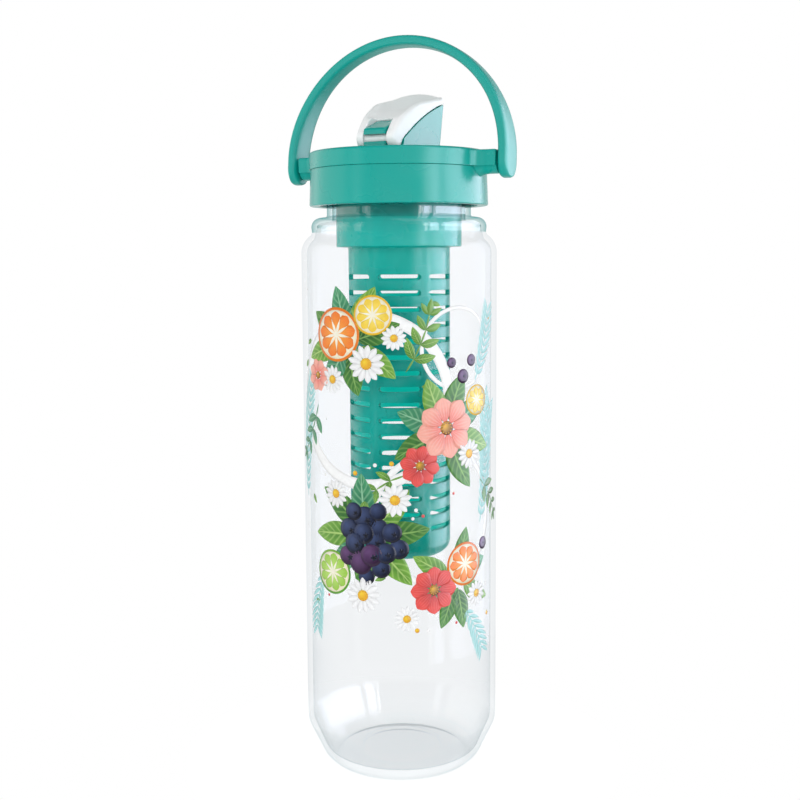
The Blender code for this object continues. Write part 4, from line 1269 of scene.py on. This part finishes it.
# %% [markdown]
# ## Drawing on a round wall
# A flat drawing would float off a round bottle. So each stroke is a small grid of points, given
# in millimetres round the wall and up from the floor, and each point is laid on the wall itself.
# Steps of about 1.3 mm hug the curve to a hundredth of a millimetre. Layers lie a hair apart.

# %% Strokes and discs
PRINT_TURN = CAMERA_TURN - radians(90.0)
INK_LAYER = 0.012
INK_SHEET = 0.006
INK_STEP = 1.3
ink_meshes = {name: bmesh.new() for name in INKS}
for ink_bm in ink_meshes.values():
    ink_bm.verts.layers.float_color.new("place")


def ink_point(u, v, layer):
    """A point of the print: u mm round the wall to the camera's right, v mm over the floor."""
    reach = BODY + 2.0 * INK_SHEET + layer * INK_LAYER
    return (*polar(reach, PRINT_TURN + u / BODY), v)


def add_sheet(ink, rows, layer, tint, closed=False):
    """Lay a grid of (u, v, across, along) points on the wall as one patch of ink."""
    bm = ink_meshes[ink]
    place = bm.verts.layers.float_color["place"]
    grid = [[bm.verts.new(ink_point(u, v, layer)) for u, v, across, along in row] for row in rows]
    for line, row in zip(grid, rows):
        for vert, (u, v, across, along) in zip(line, row):
            vert[place] = (across, along, tint, 1.0)
    for line, following in zip(grid, grid[1:]):
        for i in range(len(line) if closed else len(line) - 1):
            j = (i + 1) % len(line)
            bm.faces.new((line[i], line[j], following[j], following[i]))
    if closed == "filled":
        bm.faces.new(grid[0])


def add_blade(ink, root, heading, length, width, layer, tint=0.0, bend=0.0, fullness=1.0):
    """A leaf, petal or segment: a bent spine whose width swells and closes again."""
    steps = max(6, ceil(1.4 * length / INK_STEP))
    columns = 2 * max(1, ceil(0.5 * width / INK_STEP))
    u, v = root
    rows = []
    last = 0.0
    for step in range(steps + 1):
        along = 0.5 - 0.5 * cos(pi * step / steps)
        angle = radians(heading + bend * (along - 0.5))
        c, s = polar(1.0, angle)
        u += c * length * (along - last)
        v += s * length * (along - last)
        last = along
        half = 0.5 * width * max(sin(pi * along ** fullness) ** 0.8, 0.02)
        shares = [2.0 * column / columns - 1.0 for column in range(columns + 1)]
        rows.append([
            (u - s * half * share, v + c * half * share, 0.5 + 0.5 * share, along) for share in shares
        ])
    add_sheet(ink, rows, layer, tint)


def add_disc(ink, centre, radius, layer, tint=0.0, inner=0.0):
    """A filled disc, or a ring where an inner radius is given."""
    sides = max(14, ceil(2.0 * pi * radius / INK_STEP))
    start = inner if inner else 0.2
    rings = max(1, ceil((radius - start) / INK_STEP))
    rows = []
    for ring in range(rings + 1):
        reach = start + (radius - start) * ring / rings
        share = 0.5 * reach / radius
        rows.append([(centre[0] + reach * c, centre[1] + reach * s, 0.5 + share * c, 0.5 + share * s)
                     for c, s in circle_points(sides)])
    add_sheet(ink, rows, layer, tint, True if inner else "filled")


print("strokes are ready")

# %% Motifs


def add_slice(centre, radius, tint, turn):
    """A citrus slice: rind, pith and nine segments of pulp."""
    add_disc("print_rinds", centre, radius, 5, tint)
    add_disc("print_piths", centre, 0.90 * radius, 6)
    for i in range(9):
        heading = turn + 40.0 * i
        add_blade("print_pulps", step_out(centre, heading, 0.10 * radius), heading,
                  0.75 * radius, 0.47 * radius, 7, tint, 0.0, 2.3)


def add_flower(ink, centre, radius, petals, width, tint, turn, heart, heart_tint=0.0):
    """Petals round a heart, laid alternately over and under each other."""
    for i in range(petals):
        heading = turn + 360.0 * i / petals
        length = 0.88 * radius * random.uniform(0.94, 1.0)
        add_blade(ink, step_out(centre, heading, 0.12 * radius), heading, length, width * radius,
                  8 + i % 2, tint, random.uniform(-14.0, 14.0), 1.55)
    add_disc("print_hearts", centre, heart * radius, 10, heart_tint)
    for i in range(11):
        spot = step_out(centre, 32.7 * i, 0.78 * heart * radius)
        add_disc("print_hearts", spot, 0.16 * heart * radius, 11, heart_tint)


def climb(root, heading, length, count, bend):
    """The joints of a bent stem: how far up each one is, its heading, its foot and its end."""
    for i in range(count):
        angle = heading + bend * i / count
        end = step_out(root, angle, length / count)
        yield i / count, angle, root, end
        root = end


def add_sprig(root, heading, length, leaves, size, tint, bend):
    """A stem with leaves in pairs that get smaller towards the tip."""
    for share, angle, foot, end in climb(root, heading, length, leaves, bend):
        add_blade("print_leaves", foot, angle, length / leaves + 0.5, 0.7, 2, tint)
        grown = size * (1.0 - 0.5 * share)
        for side, layer in ((-1.0, 3), (1.0, 4)):
            add_blade("print_leaves", end, angle + side * 52.0, grown, 0.44 * grown, layer, tint,
                      -side * 22.0, 0.85)
    add_blade("print_leaves", end, heading + bend, 0.7 * size, 0.3 * size, 5, tint, 0.0, 0.85)


def add_spray(root, heading, length, pairs, bend):
    """A pale rosemary spray: a thin stem with many needles."""
    for share, angle, foot, end in climb(root, heading, length, pairs, bend):
        add_blade("print_sprays", foot, angle, length / pairs + 0.4, 0.7, 1)
        grown = 7.5 * (0.55 + 0.9 * share * (1.0 - share) * 2.0)
        for side in (-1.0, 1.0):
            add_blade("print_sprays", end, angle + side * 38.0, grown, 1.5, 2, 1.0, -side * 16.0, 0.9)


def leaf_ring(centre, headings, length, width):
    """Mint leaves round a cluster."""
    for i, heading in enumerate(headings):
        grown = length * random.uniform(0.85, 1.1)
        add_blade("print_leaves", step_out(centre, heading, 4.0), heading, grown, width, 2 + i % 3,
                  (0.0, 0.5, 1.0)[i % 3], random.uniform(-26.0, 26.0), 0.8)


print("motifs are ready")

# %% [markdown]
# ## The pattern
# The print is one loose sweep from the upper left to the lower right: slices of orange, lemon
# and lime, chamomile, coral cosmos and a bunch of blueberries among mint leaves, with pale sprays
# behind and thin white circles under all. Clusters are set one by one, as a designer would, and
# seeded random numbers only vary the small things.

# %% Lay out the leaves and circles
random.seed(11)
for centre, radius, width in (
    ((-12, 142), 32, 4.2), ((14, 100), 25, 2.4), ((22, 160), 15, 1.4),
):
    add_disc("print_circles", centre, radius, 0, 0, radius - width)
for spray in (
    ((33, 96), 74, 46, 17, 26), ((38, 104), 100, 34, 13, -30),
    ((-44, 104), 92, 44, 16, -18), ((30, 148), 62, 26, 10, 20),
    ((-32, 78), 246, 22, 9, 24), ((24, 66), -50, 20, 8, -20),
):
    add_spray(*spray)
leaf_ring((-19, 162), (20, 62, 104, 146, 196, 236, 282, 326), 17, 8.4)
leaf_ring((17, 131), (-64, -20, 28, 70, 112, 158, 206), 18, 8.8)
leaf_ring((-12, 94), (6, 48, 96, 140, 184, 222, 262, 312), 19, 9)
leaf_ring((21, 77), (-80, -30, 22, 76, 150, 204, 250), 14, 7)
for sprig in (
    ((2, 152), 58, 22, 4, 8, 0.5, 24), ((-34, 140), 250, 22, 4, 7, 1, -30),
    ((33, 112), -40, 18, 4, 6.5, 0, -26), ((2, 116), 200, 18, 3, 6, 0.5, 40),
):
    add_sprig(*sprig)
print("leaf faces:", len(ink_meshes["print_leaves"].faces))

# %% Lay out the fruit and flowers
for citrus in (
    ((-24, 165), 9.6, 0, 12), ((-9.5, 172), 7, 0.5, 30), ((-27, 79), 8.2, 1, 4),
    ((25, 82), 8, 0, 22), ((31, 141), 5.6, 0.5, 16),
):
    add_slice(*citrus)
for centre, radius, tint, turn in (
    ((17, 132), 11.5, 1, 10), ((7, 119), 7.6, 0, 34), ((12, 74), 9, 0, 0),
    ((-34, 150), 6.2, 1, 20),
):
    add_flower("print_corals", centre, radius, 8, 0.66, tint, turn, 0.22, 1)
for centre, radius, turn in (
    ((-12, 155), 7, 0), ((-26, 149), 5.2, 9), ((-2, 164), 4.6, 14),
    ((27, 122), 5.6, 4), ((-2, 107), 6.2, 12), ((-25, 108), 5.4, 2),
    ((-14, 72), 6.8, 7), ((31, 70), 5, 11), ((2, 64), 4.8, 3),
):
    add_flower("print_daisies", centre, radius, 13, 0.36, 0, turn, 0.30)

BUNCH = (-11, 92)
for i in range(16):
    u, v = step_out(BUNCH, 137.5 * i, 2.9 * sqrt(i + 0.4))
    v = BUNCH[1] + 1.15 * (v - BUNCH[1])
    size = random.uniform(3.3, 4.4) * (1 if i < 11 else 0.85)
    add_disc("print_berries", (u, v), size, 8 + i % 3, float(i % 5 == 2))
    for petal in range(5 if i % 4 != 3 else 0):
        mark = (u + 0.25 * size, v - 0.2 * size)
        add_blade("print_crowns", mark, 72 * petal + 20 * i, 0.34 * size, 0.2 * size, 11, 0, 0, 0.9)
for centre, size in (((24, 150), 2.6), ((28, 155.5), 2.2), ((19, 155), 1.9), ((35, 88), 2.4)):
    add_disc("print_berries", centre, size, 8, 1)
    add_disc("print_crowns", (centre[0] + 0.2 * size, centre[1]), 0.2 * size, 9)

for i in range(46):
    spot = (random.uniform(-46, 40), random.uniform(58, 182))
    kind = random.choice(("print_hearts", "print_corals", "print_circles", "print_leaves"))
    if kind == "print_leaves":
        add_blade(kind, spot, random.uniform(0, 360), random.uniform(3, 5), 1.8, 1, 0.5, 20, 0.85)
    else:
        add_disc(kind, spot, random.uniform(0.45, 0.95), 1)
print("stroke faces:", sum(len(bm.faces) for bm in ink_meshes.values()))

# %% [markdown]
# ## Curing the inks
# Cured ink is a film that has a thickness. Each ink is one mesh of flat sheets whose faces are
# made to look outwards, and a solidify modifier then gives all of them their film at once.

# %% Cure the inks on the wall
for ink_name, ink_bm in ink_meshes.items():
    ink_bm.normal_update()
    for face in ink_bm.faces:
        if face.normal.xy.dot(face.calc_center_median().xy) < 0.0:
            face.normal_flip()
    sheet = add_object(ink_name, ink_bm)
    modify(sheet, "ink film", "SOLIDIFY", thickness=INK_SHEET * MM, offset=-1.0)
    fit_piece(sheet, "bottle", "white_plastic", None, INKS[ink_name])
print("inks on the wall:", sorted(ink_meshes))

# %% [markdown]
# ## The floor
# The bottle stands on a plain white table. A wide disc is enough. Its own glow rises from where
# the bottle stands to the rim, so that the table is as white as the room and a soft shadow shows
# only under the bottle. The table also throws light up onto the lid, as white paper does.

# %% Lay the floor
FLOOR_RADIUS = 160.0
FLOOR_DROP = 0.2
FLOOR_GLOW = 0.50
FLOOR_LIGHT = 1.10
FLOOR_MIRROR = 0.70
SHADE_REACH = (0.034, 0.085)
paper = Finish("white_table")
away = paper.add("VectorMath", {0: paper.add("TexCoord")["Object"]}, operation="LENGTH")["Value"]
rays = paper.add("LightPath")
dull = paper.times(rays["Is Diffuse Ray"], FLOOR_LIGHT - 1.0)
glossy = paper.times(rays["Is Glossy Ray"], FLOOR_MIRROR - 1.0)
light = paper.add("Emission", {"Strength": paper.plus(paper.plus(dull, glossy), 1.0)})[0]
paper.paint({
    "Base Color": (0.80, 0.80, 0.80, 1.0),
    "Roughness": 0.6,
    "Specular IOR Level": 0.2,
    "Emission Color": WHITE,
    "Emission Strength": FLOOR_GLOW,
})
paper.layer(paper.spread(away, 0.0, 1.0, *SHADE_REACH), paper.shader.outputs[0], light)
disc = bmesh.new()
bmesh.ops.create_circle(disc, cap_ends=True, segments=96, radius=FLOOR_RADIUS)
floor = to_object("table_top", disc)
floor.location = (0.0, 0.0, -FLOOR_DROP * MM)
floor.data.materials.append(paper.material)
print("floor radius:", FLOOR_RADIUS, "mm")
